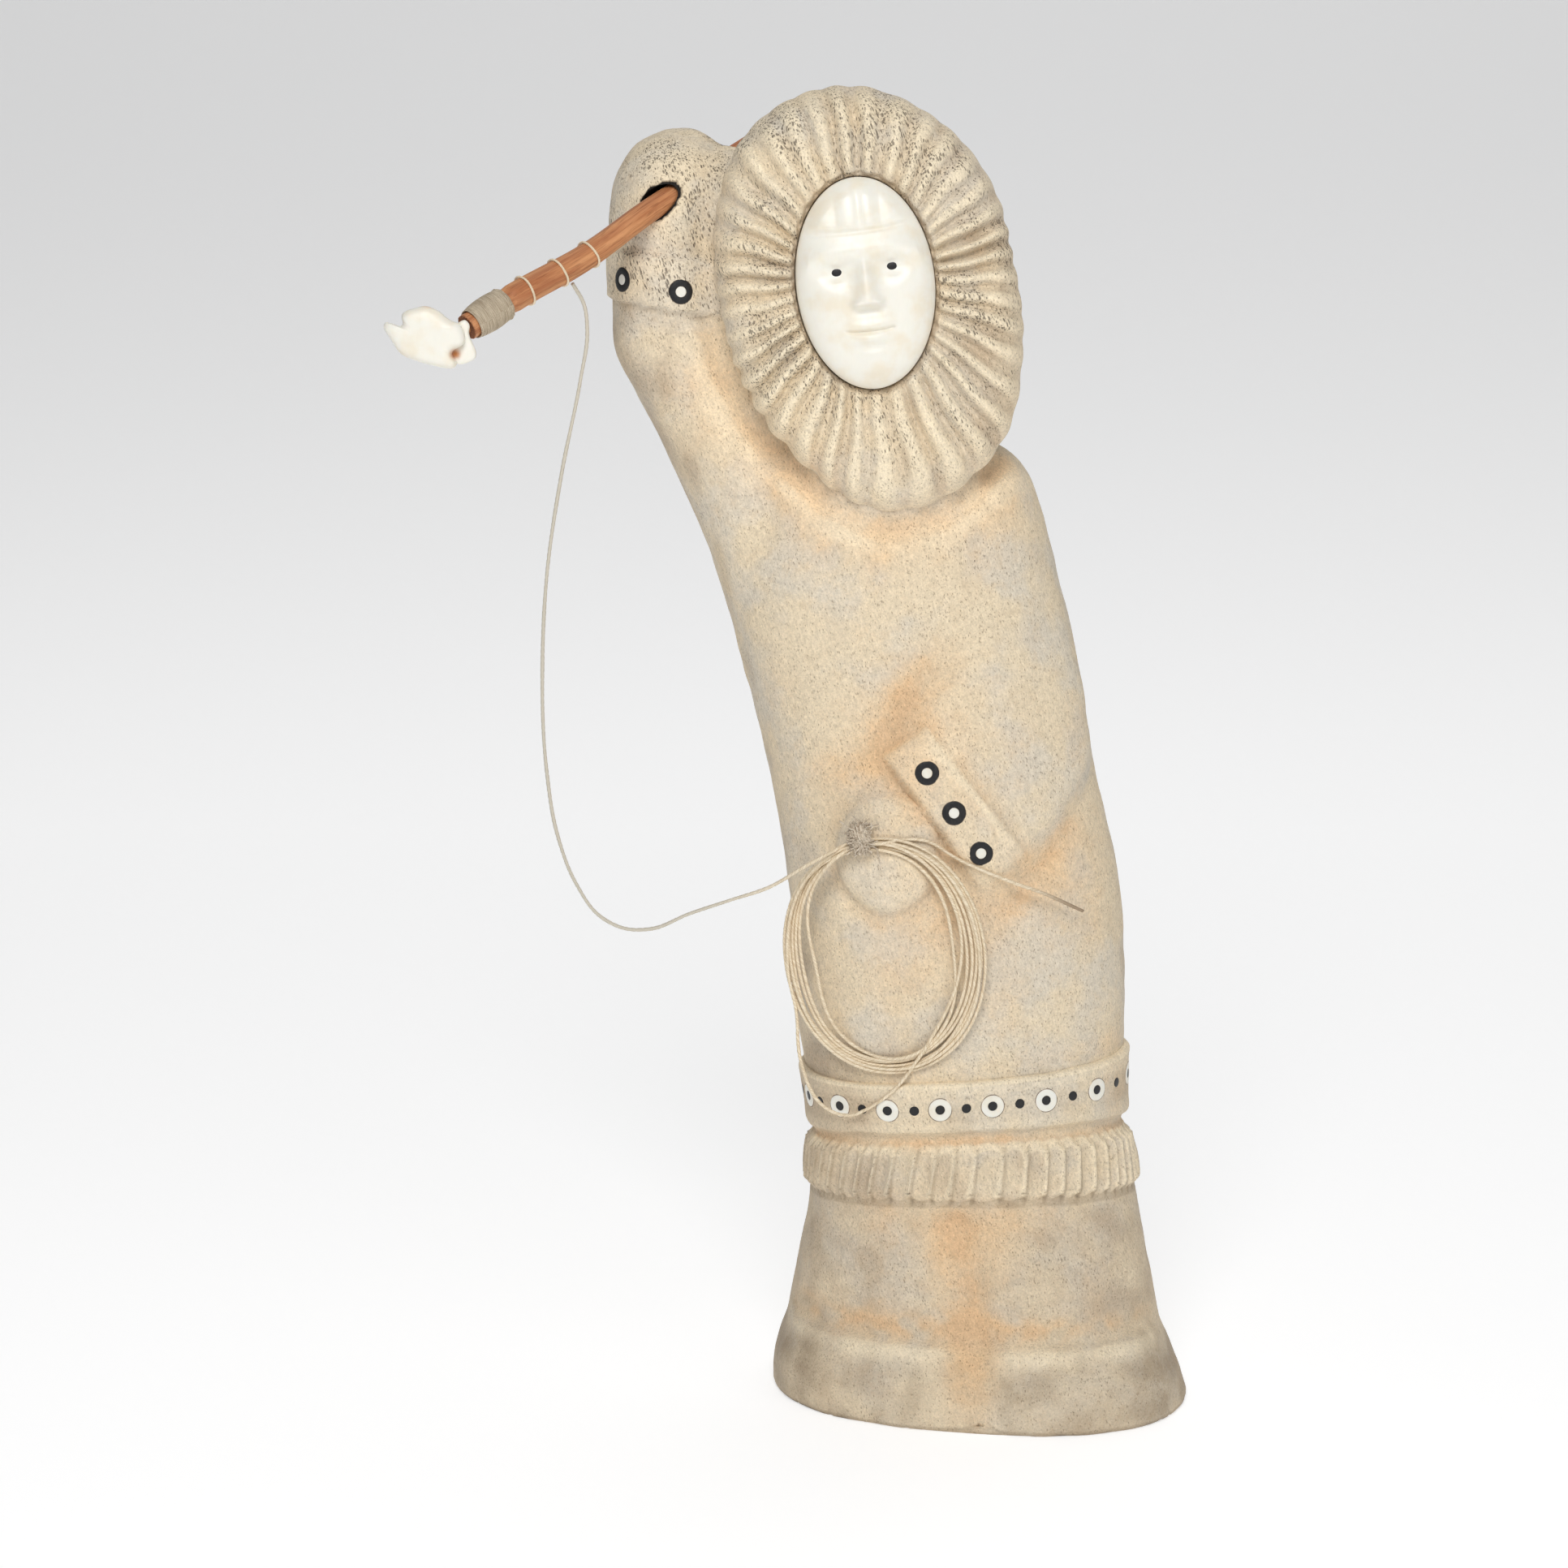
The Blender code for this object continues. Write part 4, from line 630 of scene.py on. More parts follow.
    # Painted highlights along the top edges of the hem, the fringe and the ankle ledge and on the cuff's upper corner,
    # and painted light in the mitten's moat and in the hollow under the ruff.
    worn = mound(over_hem + 0.9, 0.8) + mound(over_fringe + 0.1, 0.9)
    worn += mound(over_ledge, 3.2) * front * (1 - 0.5 * mound(from_seam, 8))
    worn *= clouds(points, 15, 18, -1.0, 0.6)
    on_cuff = mound(np.hypot(along + 15, across - 8), 5.5)
    on_cuff += 0.6 * mound(across - 0.46 * LOWER_CUFF_WIDTH, 1.3) * mound(along, 16)
    worn += (on_cuff + 0.3 * moat + 0.5 * mound(outside - 6, 6) * under_head) * front

    # Painted shade: darker down the figure's left flank as seen from the front.
    left = smooth_step(-14, -34, x + 0.30 * (z - 60) - 0.2 * np.maximum(z - 230, 0)) * smooth_step(55, 85, z)
    stain = 0.95 * left * smooth_step(326, 300, z) * clouds(points, 19, 19, -1.4, 0.6)
    # The boots darker: partly stain, partly painted shade further from the lamps.
    boots = smooth_step(72, 58, z) * (1 - 0.75 * mound(from_seam, 12)) * (1 - 0.8 * mound(over_ledge, 4.5))
    stain += 0.32 * boots * (0.66 + 0.34 * clouds(points, 8, 20, -1.2, 1.0))
    stain += 0.10 * smooth_step(300, 330, z) * smooth_step(0, 8, outside)
    on_ruff = 0.50 * (0.35 + 0.65 * clouds(points, 15, 21, -0.8, 0.8)) * (0.35 + 0.65 * smooth_step(-46, -14, x))
    stain += (on_ruff + 0.35 * smooth_step(-20, 4, x)) * smooth_step(4, -4, outside)
    stain += 0.30 * smooth_step(30, 46, x) * smooth_step(70, 90, z) * smooth_step(250, 225, z)
    stain += 0.35 * clouds(points, 15, 22, 0.1, 1.1) + 0.38 * smooth_step(112, 88, z)

    limits = {"warm": (warm, 1), "soil": (soil, 3), "pores": (pores, 1.2), "worn": (worn, 1), "stain": (stain, 1)}
    return {name: np.clip(values, 0, limit) for name, (values, limit) in limits.items()}


def make_bone():
    """Weathered bone: cream and tan mottles, orange in the hollows, long dark pores, fine grains, soil, painted shade
    and highlights.
    """
    material, shader, place = new_finish("weathered_bone", 0.7, Specular_IOR_Level=0.25)
    names = ("warm", "soil", "pores", "hollow", "worn", "stain")
    warm, soil, pores, hollow, worn, stain = (field(place, name) for name in names)
    fibre = place.stretched((1.0, 1.0, 0.34), (0, 20, 0))
    patchy, mottle, spots = place.noise(19.0, 3.0), place.noise(5.0, 4.0, 0.7), place.noise(1.7, 3.0, 0.6)
    threads, grains = fibre.noise(0.62, 3.0, 0.7), place.noise(0.5, 2.0, 0.7)
    wander = (fibre.noise(1.3, 2.0) - 0.5) * 1.1

    def cells(scale):
        """Cells along the fibres: how far the middle of each is, and its own chance value."""
        near = place.node("ShaderNodeTexVoronoi", None, {"Vector": fibre.stretched(scale) + wander, "Scale": 1.0})
        colour = Wire(near.socket.node.outputs["Color"])
        return near, colour.node("ShaderNodeSeparateXYZ", None, {"Vector": colour})

    slits, chance = cells((1.65, 1.65, 1.45))
    pits = (pores * (chance * 0.36 + spots * 0.30 - 0.09) - slits).rise(-0.05, 0.07) * pores.rise(0.02, 0.2)
    small, rare = cells((2.4, 2.4, 2.6))
    pricks = (rare * 0.40 - 0.10 + pores * 0.12 - small).rise(-0.08, 0.08)
    glow = warm * (mottle * 1.0 + patchy * 0.9 + 0.1)
    dirt_and_shade = (soil * (threads * 1.3 + mottle * 0.9 + spots * 1.0 - 0.55)).rise(0.20, 1.35)
    colour = patchy.rise(0.40, 0.62).between(CREAM, PALE)
    for share, tint in (
        (mottle.rise(0.46, 0.74) * 0.5, TAN),
        ((stain * (mottle * 1.1 + patchy * 0.7 + spots * 0.3)).rise(0.12, 1.25) * 0.85, STAIN_SHADE_TINT),
        (glow.rise(0.0, 1.05), PEACH),
        ((glow * (hollow * 0.6 + 0.35) * (mottle + 0.5)).rise(0.30, 1.0) * 0.4, RUST),
        # Painted highlight: paler on convex bumps and where the painted light field is high.
        (((0 - hollow).rise(0.15, 1.0) * 0.5 + worn * (mottle + 0.5)).rise(0.0, 1.3) * 0.75, PAINTED_LIGHT_TINT),
        # Painted shade: a little darker tan in the hollows.
        (hollow.rise(0.25, 1.10) * 0.22, TAN),
        # Soil, and painted shade where the field carries it.
        (dirt_and_shade * 0.55, SOIL_AND_SHADE),
    ):
        colour = share.between(colour, tint)
    fine = (threads - 0.5) * 0.62 + (grains - 0.5) * 0.62 + (spots - 0.5) * 0.28 + (mottle - 0.5) * 0.28
    colour = colour * (fine + 1.0)
    # The small pits and open pores are the bone's own; the near black inside the bore is painted shade.
    for share, tint in ((pricks * 0.45, SOIL_AND_SHADE), (pits * 0.66, PORE), (soil.rise(1.2, 2.4), BORE_SHADE)):
        colour = share.between(colour, tint)
    height = threads * 0.45 + grains * 0.3 + spots * 0.35 - pits * 0.9 - pricks * 0.4
    attach(shader, Base_Color=colour, Normal=relief(height, 0.30))
    attach(shader, Roughness=(threads - 0.5) * 0.3 + pits * 0.2 + 0.68)
    return material


def normals_of(rows):
    """Outward normals of a grid whose columns go round anticlockwise and whose rows go up."""
    across = np.roll(rows, -1, axis=1) - np.roll(rows, 1, axis=1)
    upward = np.gradient(rows, axis=0)
    normals = np.cross(across, upward)
    return normals / np.maximum(np.linalg.norm(normals, axis=-1, keepdims=True), 1e-12)


def read(mesh, name):
    """The mesh's places or normals as an array."""
    values = np.empty(len(mesh.vertices) * 3)
    mesh.vertices.foreach_get(name, values)
    return values.reshape(-1, 3)


def hollows(mesh, rounds, depth):
    """How far points lie under the surface averaged over their neighbours, as a share of a depth in metres."""
    points, normals, count = read(mesh, "co"), read(mesh, "normal"), len(mesh.vertices)
    edges = np.empty(len(mesh.edges) * 2, int)
    mesh.edges.foreach_get("vertices", edges)
    one, other = edges.reshape(-1, 2).T
    shares = np.bincount(one, minlength=count) + np.bincount(other, minlength=count)
    soft = points
    for _ in range(rounds):
        sums = [np.bincount(one, soft[other, k], count) + np.bincount(other, soft[one, k], count) for k in range(3)]
        soft = np.stack(sums, axis=-1) / shares[:, None]
    return np.clip(((soft - points) * normals).sum(axis=1) / depth, -1, 1)


def weather(thing, rounds, **extra):
    """Puts the fields of the bone's colour on a finished surface, with more of a field where a grid of it is given."""
    mesh = thing.data
    fields = tones(read(mesh, "co") / MM, read(mesh, "normal"))
    fields["hollow"] = hollows(mesh, rounds, HOLLOW_DEPTH * MM)
    for name, values in fields.items():
        if name in extra:
            values = values + np.append(extra[name], [0.0, 0.0])
        mesh.attributes.new(name, "FLOAT", "POINT").data.foreach_set("value", values.astype(np.float32))


bone = make_bone()


# The skirt of the figure: boots on a flat sawn base, a fluted fringe, a deep groove and the plain hem band. It is
# the lower part of the same block, cut with a knife and rubbed smooth.
SKIRT_COLUMNS = FRINGE_FLUTES * 12
FRINGE_ROWS = slice(70, 96)


def skirt_rows():
    """Rows from the base to the hem: each lies between two band edges, at a share of the way, and stands proud."""
    turns = np.linspace(-math.pi, math.pi, SKIRT_COLUMNS, endpoint=False)
    base = 0 * turns
    fringe_low, fringe_high = edge_height(FRINGE_LOW, turns), edge_height(FRINGE_HIGH, turns)
    hem_low, hem_high = edge_height(HEM_LOW, turns), edge_height(HEM_HIGH, turns)
    wander = 0.5 * np.sin(2 * turns + 1) + 0.4 * np.sin(5 * turns + 2) + 0.25 * np.sin(11 * turns)
    phase = 0.5 * FRINGE_FLUTES * turns + wander
    ridge = 1 - np.abs(np.cos(phase)) ** 0.8
    depth = 1.6 + 0.25 * np.sin(3 * turns + 2) + 0.12 * np.sin(7 * turns)
    scallop = (0.5 - ridge) * 1.5
    heights, prouds = [], []

    def add(height, proud):
        heights.append(height)
        prouds.append(proud + 0 * turns)

    for height, proud in ((0.0, -1.9), (0.25, -0.9), (0.8, -0.35), (1.8, 0.0)):
        add(base + height, proud)
    for share in np.linspace(0.04, 0.97, 66):
        add((fringe_low - 1.6) * share + 1.0, 0.0)
    flute = depth * (1 - ridge)
    for height, proud in ((-1.1, -0.15), (-0.5, 0.15), (0.0, 0.9), (0.4, 1.7), (0.9, 2.15), (1.6, 2.4)):
        add(fringe_low - scallop * 0.6 + height, proud - flute * min(1, proud / 2))
    for share in np.linspace(0.12, 0.88, 16):
        add(fringe_low + (fringe_high - fringe_low) * share, 2.4 - flute + 0.15 * math.sin(math.pi * share))
    for height, proud in ((-1.3, 2.35), (-0.7, 2.0), (-0.2, 1.35), (0.4, 0.6)):
        add(fringe_high + scallop + height, proud - flute * min(1, proud / 2))
    for share, proud in ((0.2, 0.1), (0.4, -0.35), (0.6, -0.6), (0.8, -0.5)):
        add(fringe_high + scallop * (1 - share) + (hem_low - fringe_high) * share, proud)
    for height, proud in ((-0.9, -0.1), (-0.3, 0.55), (0.2, 1.25), (0.8, 1.7), (1.6, 1.95), (2.4, 2.0)):
        add(hem_low + height + 0.9, proud)
    top = hem_high - 1.0
    for share in np.linspace(0.26, 0.93, 18):
        add(hem_low + (top - hem_low) * share, 2.0)
    for height, proud in ((-0.7, 1.97), (-0.25, 1.8), (0.05, 1.45), (0.25, 0.9), (0.3, 0.0), (0.2, -5.0)):
        add(top + height, proud)
    rows = girth(TRUNK, np.array(heights), np.broadcast_to(turns, (len(heights), len(turns))), np.array(prouds))
    normals = normals_of(rows)
    flat = rows.reshape(-1, 3)
    front, back = (smooth_step(0.1, 0.65, sign * normals[..., 1]) for sign in (-1, 1))
    lift = boots_relief(rows[..., 0], rows[..., 2], front, back) + tool_marks(flat).reshape(rows.shape[:2])
    chips = np.clip(drift(flat, 4, 17).reshape(rows.shape[:2]) - 0.6, 0, 1)
    lift -= 0.9 * chips * smooth_step(6, 0, rows[..., 2])
    lift[-1] = lift[0] = 0
    rows = rows + normals * (lift * smooth_step(-1, 1.2, rows[..., 2]))[..., None]
    rows[..., 2] = np.maximum(rows[..., 2], 0)
    return rows, np.mod(phase / math.pi + 0.5, 1)


def add_skirt():
    """The skirt: painted shade beside its flutes' edges and under the fringe, painted highlights beside the edges and
    on band tops.
    """
    rows, across = skirt_rows()
    skirt = add_shell("carved_skirt_and_boots", rows, bone)
    soil, worn = np.zeros(rows.shape[:2]), np.zeros(rows.shape[:2])
    right = 0.45 + 0.55 * smooth_step(-34, -4, rows[0, :, 0])
    # Painted shade on one side of each flute's edge and in a line under the fringe; painted highlight on the other
    # side.
    soil[FRINGE_ROWS] = 0.75 * mound(across - 0.12, 0.10)
    soil[FRINGE_ROWS.start - 1 : FRINGE_ROWS.start + 2] += 0.6
    worn[FRINGE_ROWS] = 0.55 * mound(across - 0.90, 0.09)
    # Painted highlights along the top edges of the fringe and the hem, stronger towards the right.
    worn[FRINGE_ROWS.stop - 3 : FRINGE_ROWS.stop + 1] = 1.1 * right
    worn[-6:-2] = 0.9 * right
    weather(skirt, 30, soil=soil, worn=worn)
    return skirt


skirt = add_skirt()
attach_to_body(skirt, "root")
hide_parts("fisherman_figure")


# The body of the figure: the trunk, the raised arm with its fist, and the round hood, grown together in one surface.
# The sleeve, the cuffs and the mitten are low relief, and the fist is drilled through for the harpoon.
COLUMN_TURNS = 128
BORE_PLACES = (26, 0.8, -2.0, -60)
HARPOON_TURN = np.array(Vector(HARPOON_AIM).normalized().to_track_quat("Z", "Y").to_matrix())


def column(stations, low, high):
    """The rows of a column between two heights."""
    heights = np.linspace(low, high, max(4, round((high - low) / 1.5)))
    turns = np.linspace(-math.pi, math.pi, COLUMN_TURNS, endpoint=False)
    return girth(stations, heights[:, None] + 0 * turns, turns + 0 * heights[:, None])


def hood():
    """The rows of the round hood behind the ruff, front to back."""
    turns = np.linspace(0, math.tau, COLUMN_TURNS, endpoint=False)
    outer = HOOD_SHARE * ruff_reach(turns)
    low = 0.5 - 0.5 * np.cos(turns)
    start = RUFF_FRONT - RUFF_FALL_TOP * (1 - low) - RUFF_FALL_BOTTOM * low - 6
    rows = [head_frame(0.5 * outer * np.sin(turns), 0.5 * outer * np.cos(turns), 0 * turns + start.min())]
    for lap in np.linspace(0, 0.5 * math.pi, 40):
        reach = outer * max(0.02, math.cos(lap)) ** 0.75
        depth = start - (start + HOOD_BACK) * math.sin(lap)
        rows.append(head_frame(reach * np.sin(turns), reach * np.cos(turns), depth))
    return np.array(rows)


def web():
    """The rows of the oval ball of bone between the fist and the hood, bottom to top."""
    turns = np.linspace(-math.pi, math.pi, COLUMN_TURNS, endpoint=False)
    laps = np.linspace(-0.49, 0.49, 40)[:, None] * math.pi
    shape = (np.cos(laps) * np.cos(turns), np.cos(laps) * np.sin(turns), np.sin(laps) + 0 * turns)
    return np.array(FIST_WEB) + np.stack(shape, axis=-1) * FIST_WEB_HALF


def settle(thing):
    """Replaces an object's mesh by what its modifiers make of it."""
    bpy.context.view_layer.update()
    made = bpy.data.meshes.new_from_object(thing.evaluated_get(bpy.context.evaluated_depsgraph_get()))
    thing.modifiers.clear()
    thing.data = made


def turned(radius, turns, along):
    """Points round Z at a radius and a turn, and at a place along it."""
    return np.stack(np.broadcast_arrays(radius * np.cos(turns), radius * np.sin(turns), along), axis=-1)


def disc_rows(profile, sides):
    """A turned piece round its own Z: rows of radius and height."""
    radius, height = np.array(profile)[:, None].T
    return turned(radius.T, np.linspace(0, math.tau, sides, endpoint=False), height.T)


def in_world(rows):
    """Rows given in the harpoon's frame, from the mouth of the fist's hole with Z towards the head, in the figure's."""
    return rows @ HARPOON_TURN.T + FIST_HOLE


def make_body():
    """The body: shells joined by a fine voxel skin, smoothed, carved along its normals, and drilled."""
    lumps = (column(TRUNK, 84, 278), column(RAISED_ARM, 188, 358.6), web(), hood())
    body = build("carved_body", [shell(rows) for rows in lumps], bone)
    grow = body.modifiers.new("grow_together", "REMESH")
    grow.mode = "VOXEL"
    grow.voxel_size = BONE_GRAIN * MM
    smooth = body.modifiers.new("smooth", "SMOOTH")
    smooth.factor = 0.5
    smooth.iterations = 22
    settle(body)
    points, normals = read(body.data, "co") / MM, read(body.data, "normal")
    x, z = points[:, 0], points[:, 2]
    front = smooth_step(0.1, 0.65, -normals[:, 1])
    sleeve, cuff, mitten, hollow, armpit, moat = sleeve_parts(x, z)
    lift = 2.9 * sleeve + 1.6 * cuff + 4.9 * mitten - 1.5 * hollow - 1.1 * armpit - 0.5 * moat
    band = in_band(points, arm_turn(points), CUFF_LOW, CUFF_HIGH, 0.55) * smooth_step(-56, -60, x)
    lift = (lift - 2.6 * ruff_moat(x, z)) * front + tool_marks(points) + 1.5 * band
    points = points + normals * lift[:, None]
    body.data.vertices.foreach_set("co", (points * MM).ravel())
    body.data.update()
    cutter = add_shell("bore", in_world(disc_rows([(BORE_HALF, place) for place in BORE_PLACES], 64)), bone)
    drill = body.modifiers.new("drill", "BOOLEAN")
    drill.operation = "DIFFERENCE"
    drill.object = cutter
    drill.solver = "EXACT"
    settle(body)
    bpy.data.objects.remove(cutter)
    body.data.materials.clear()
    body.data.materials.append(bone)
    body.data.shade_smooth()
    body.data.set_sharp_from_angle(angle=math.radians(50))
    weather(body, 16)
    return body


body = make_body()
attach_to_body(body, "root")
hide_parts("fisherman_figure")


# The fur ruff of the hood: one ring of rounded flutes with narrow grooves between them, cut into the same bone. The
# flutes start as round tips beside the face and roll over the rim.
RUFF_COLUMNS = RUFF_FLUTES * 14


def turn_from(turns, start):
    """How far turns lie past a start, from minus to plus half a turn."""
    return np.mod(turns - start + math.pi, math.tau) - math.pi


def ruff_grid():
    """Rows from the recess's floor over the flutes to the hidden back. A groove is a narrow V between round ridges."""
    turns = np.linspace(0, math.tau, RUFF_COLUMNS, endpoint=False)
    inner, outer = face_reach(turns, INLAY_GAP), ruff_reach(turns)
    low = 0.5 - 0.5 * np.cos(turns)
    fall = RUFF_FALL_TOP + (RUFF_FALL_BOTTOM - RUFF_FALL_TOP) * low
    knots = np.array([0.0, 0.12, 0.5, 0.88, 1.0, 1.14, 1.45])
    reaches = [inner + (outer - inner) * share for share in knots[:4]]
    reaches += [0.985 * outer, 0.975 * outer, 0.80 * outer]
    swells = RUFF_SWELL * np.sin(math.pi * knots[:4] ** 0.7)
    depths = [RUFF_FRONT + swell - fall * share**2.2 for swell, share in zip(swells, knots)]
    depths += [RUFF_FRONT - fall - share * RUFF_EDGE for share in (0.30, 0.75, 1.25)]
    at = np.concatenate([np.linspace(0.0, 0.1, 9), np.linspace(0.12, 0.86, 30), np.linspace(0.88, 1.45, 26)])
    reach, depth = through(knots, reaches, at), through(knots, depths, at)
    wander = 0.5 * np.sin(3 * turns + 1) + 0.35 * np.sin(7 * turns + 2) + 0.2 * np.sin(13 * turns)
    sway = 0.55 * np.sin(4 * turns + 0.5) + 0.35 * np.sin(9 * turns + 1)
    phase = 0.5 * (RUFF_FLUTES * turns[None, :] + wander + sway * at[:, None])
    ridge = np.cos(phase + 0.16 * np.sin(9 * at[:, None] + 5 * turns)) ** 2
    ridge = ridge ** (0.72 + 0.2 * np.sin(6 * turns))
    strength = 1.0 + 0.22 * np.sin(5 * turns + 1) + 0.15 * np.sin(9 * turns + 2)
    strength -= 0.25 * mound(turn_from(turns, 0.5), 0.5)
    along = smooth_step(-0.05, 0.16, at) * (1 - 0.5 * smooth_step(0.80, 1.02, at)) * (1 - smooth_step(1.0, 1.3, at))
    groove = FLUTE_DEPTH * strength[None, :] * along[:, None] * (1 - ridge)
    tips = 1.1 * (1 - smooth_step(0.0, 0.045, at[:, None] - 0.03 * (1 - ridge)))
    rim = smooth_step(0.86, 1.02, at)[:, None]
    depth = depth - (groove * (1 - 0.5 * rim)) - tips
    low_left = mound(turn_from(turns, 3.9), 0.75)
    reach = reach - (0.35 + 0.55 * low_left) * groove * rim
    floor, back = (0 * turns + RUFF_FRONT - step for step in (FACE_SETBACK, RUFF_FALL_TOP + 1.3 * RUFF_EDGE))
    reach = np.concatenate([[inner, inner, inner + 0.05], reach[1:], [0.5 * outer]])
    depth = np.concatenate([[floor, depth[0] - 1.2, depth[0] - 0.3], depth[1:], [back]])
    points = head_frame(reach * np.sin(turns), reach * np.cos(turns), depth)
    marks = tool_marks(points.reshape(-1, 3)).reshape(reach.shape)
    marks[:3] = marks[-1] = 0
    points[..., 1] -= 0.8 * marks
    return points[:, ::-1], (1 - ridge) * along[:, None], ridge * along[:, None]


def add_ruff():
    """The ruff, with painted shade in its grooves and in a ring beside the face, and painted highlights along its
    ridges.
    """
    rows, grooves, crests = ruff_grid()
    soil, worn = np.zeros(rows.shape[:2]), np.zeros(rows.shape[:2])
    fluted = slice(3, 2 + len(grooves))
    # Painted shade in the grooves and in the recess beside the face.
    soil[fluted] = 0.18 * grooves[1:, ::-1] ** 2
    soil[:6] += 0.64
    soil[6:12] += 0.24
    # Painted highlights on the crests.
    worn[fluted] = 0.75 * crests[1:, ::-1] ** 2
    thing = add_shell("carved_ruff", rows, bone)
    weather(thing, 24, soil=soil, worn=worn)
    return thing


ruff = add_ruff()
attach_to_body(ruff, "root")
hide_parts("fisherman_figure")


# The face: an oval plate of polished ivory set in the ruff, with a cut fringe of hair, brow, nose and mouth in soft
# low relief. Two round pegs of dark horn make the eyes.
FACE_THICKNESS = 10.5
EYE_DIAMETER = 2.9
EYE_SPREAD = 14.4
EYE_RISE = 3.6
IVORY = linear(240, 237, 226)
IVORY_WARM = linear(235, 225, 204)
HORN = linear(22, 22, 24)


def face_relief(across, up):
    """Height of the features over the plate: hair, brow, eye hollows, nose, lips, mouth line and chin."""
    wide, high = across / FACE_HALF_WIDTH, up / FACE_HALF_HEIGHT
    hairline = high - 0.06 * wide**2
    hair = 0.55 * smooth_step(0.49, 0.56, hairline)
    locks = 0.5 - 0.5 * np.cos(across / 1.15 + 1.2 * np.sin(across / 4))
    hair -= 0.55 * (1 - locks**0.6) * smooth_step(0.50, 0.56, hairline) * (0.7 + 0.3 * np.sin(across / 2.1))
    hair -= 0.35 * mound(hairline - 0.49, 0.022)
    brow = 0.85 * mound(high - 0.32 + 0.10 * wide**2, 0.10) * (1 - 0.3 * wide**2)
    side = np.abs(across) - 0.5 * EYE_SPREAD
    hollow = -1.5 * mound(np.hypot(side / 1.15, 1.25 * (up - EYE_RISE - 0.3)), 4.0)
    lid = 0.28 * mound(np.hypot(side / 1.5, up - EYE_RISE - 2.4 + 0.05 * side**2), 0.8)
    bag = 0.16 * mound(np.hypot(side / 2.0, up - EYE_RISE + 2.7 - 0.06 * side**2), 0.8)
    bridge = smooth_step(-0.25, -0.17, high) * (1 - smooth_step(0.12, 0.34, high))
    width = np.maximum(1.9 + 4.4 * (0.16 - high), 1.7)
    nose = (1.1 + 3.0 * (0.20 - high)) * bridge * mound(across, width)
    wings = 0.75 * mound(np.hypot(np.abs(across) - 2.9, 1.1 * (up + 5.1)), 1.5)
    under = -0.35 * mound(high + 0.265, 0.03) * mound(across, 4.2)
    curve = high + 0.45 - 0.14 * wide**2
    ends = 1 - smooth_step(0.30, 0.40, np.abs(wide))
    mouth = -0.62 * mound(curve, 0.016) * ends
    upper = 0.50 * mound(curve - 0.055, 0.045) * mound(wide, 0.30)
    lower = 0.62 * mound(curve + 0.065, 0.05) * mound(wide, 0.26)
    dip = -0.30 * mound(high + 0.60, 0.045) * mound(wide, 0.35)
    groove = -0.14 * mound(across, 0.8) * mound(high + 0.33, 0.05)
    chin = 0.65 * mound(np.hypot(0.8 * wide, high + 0.74), 0.17)
    cheeks = 0.45 * mound(np.hypot(np.abs(wide) - 0.55, high + 0.16), 0.28)
    features = hair + brow + hollow + lid + bag + nose + wings + under + mouth + upper + lower
    return 1.35 * (features + dip + groove + chin + cheeks)


def face_point(across, up):
    """Points of the face's front, at places across and up it."""
    far = np.hypot(across, up)
    share = np.clip(far / face_reach(np.arctan2(across, up)), 0, 1)
    back = RUFF_FRONT - FACE_SETBACK + INLAY_GAP
    dome = FACE_SETBACK + (FACE_THICKNESS - FACE_SETBACK) * (1 - share**3.2) ** 0.6
    fade = np.minimum(1.0, 6 * (1 - share))
    return head_frame(across, up, back + dome + fade * face_relief(across, up))


def make_ivory():
    """Polished ivory: near white, faintly cloudy and veined, warmer where the field says, and glossy."""
    material, shader, place = new_finish("polished_ivory", 0.3, Specular_IOR_Level=0.5, Subsurface_Weight=0.15)
    shader.inputs["Subsurface Radius"].default_value = (0.004, 0.003, 0.002)
    shader.inputs["Subsurface Scale"].default_value = 0.5
    stain = field(place, "stain")
    cloud = place.noise(7.0, 3.0)
    veins = place.stretched((1.0, 1.0, 0.2)).noise(0.9, 3.0, 0.6)
    colour = (cloud.rise(0.40, 0.72) * 0.8).between(IVORY, IVORY_WARM)
    colour = colour * ((veins - 0.5) * 0.05 + 1.0)
    colour = (stain * (veins * 0.7 + 0.6)).rise(0.1, 1.0).between(colour, linear(196, 124, 62))
    attach(shader, Base_Color=colour, Roughness=cloud * 0.15 + 0.30, Normal=relief(veins + cloud * 0.6, 0.012))
    return material


def make_horn():
    """Dark horn, nearly black, with faint paler streaks and a dull polish."""
    material, shader, place = new_finish("dark_horn", 0.4, Specular_IOR_Level=0.45)
    streaks = place.stretched((1.0, 1.0, 0.35), (20, 0, 35)).noise(0.5, 3.0, 0.6)
    colour = (streaks.rise(0.45, 0.8) * 0.5).between(HORN, linear(60, 57, 52))
    attach(shader, Base_Color=colour, Roughness=streaks * 0.3 + 0.30, Normal=relief(streaks, 0.015))
    return material


ivory, horn = make_ivory(), make_horn()
face_turns = np.linspace(0, math.tau, 300, endpoint=False)
face_edge = face_reach(face_turns)
face_across, face_up = face_edge * np.sin(face_turns), face_edge * np.cos(face_turns)
face_rows = [
    head_frame(share * face_across, share * face_up, 0 * face_up + RUFF_FRONT - FACE_SETBACK + rise)
    for share, rise in ((0.3, INLAY_GAP), (0.96, INLAY_GAP), (0.995, INLAY_GAP), (1.0, 0.5))
]
front_shares = np.concatenate([np.sin(np.linspace(0.5 * math.pi, 0.28 * math.pi, 34)), np.linspace(0.765, 0.01, 84)])
face_rows = np.array(face_rows + [face_point(share * face_across, share * face_up) for share in front_shares])
no_stain = np.zeros(face_rows.shape[:2])
no_stain[2:9] = 0.32
face = add_shell("ivory_face_plate", face_rows, ivory, stain=no_stain)
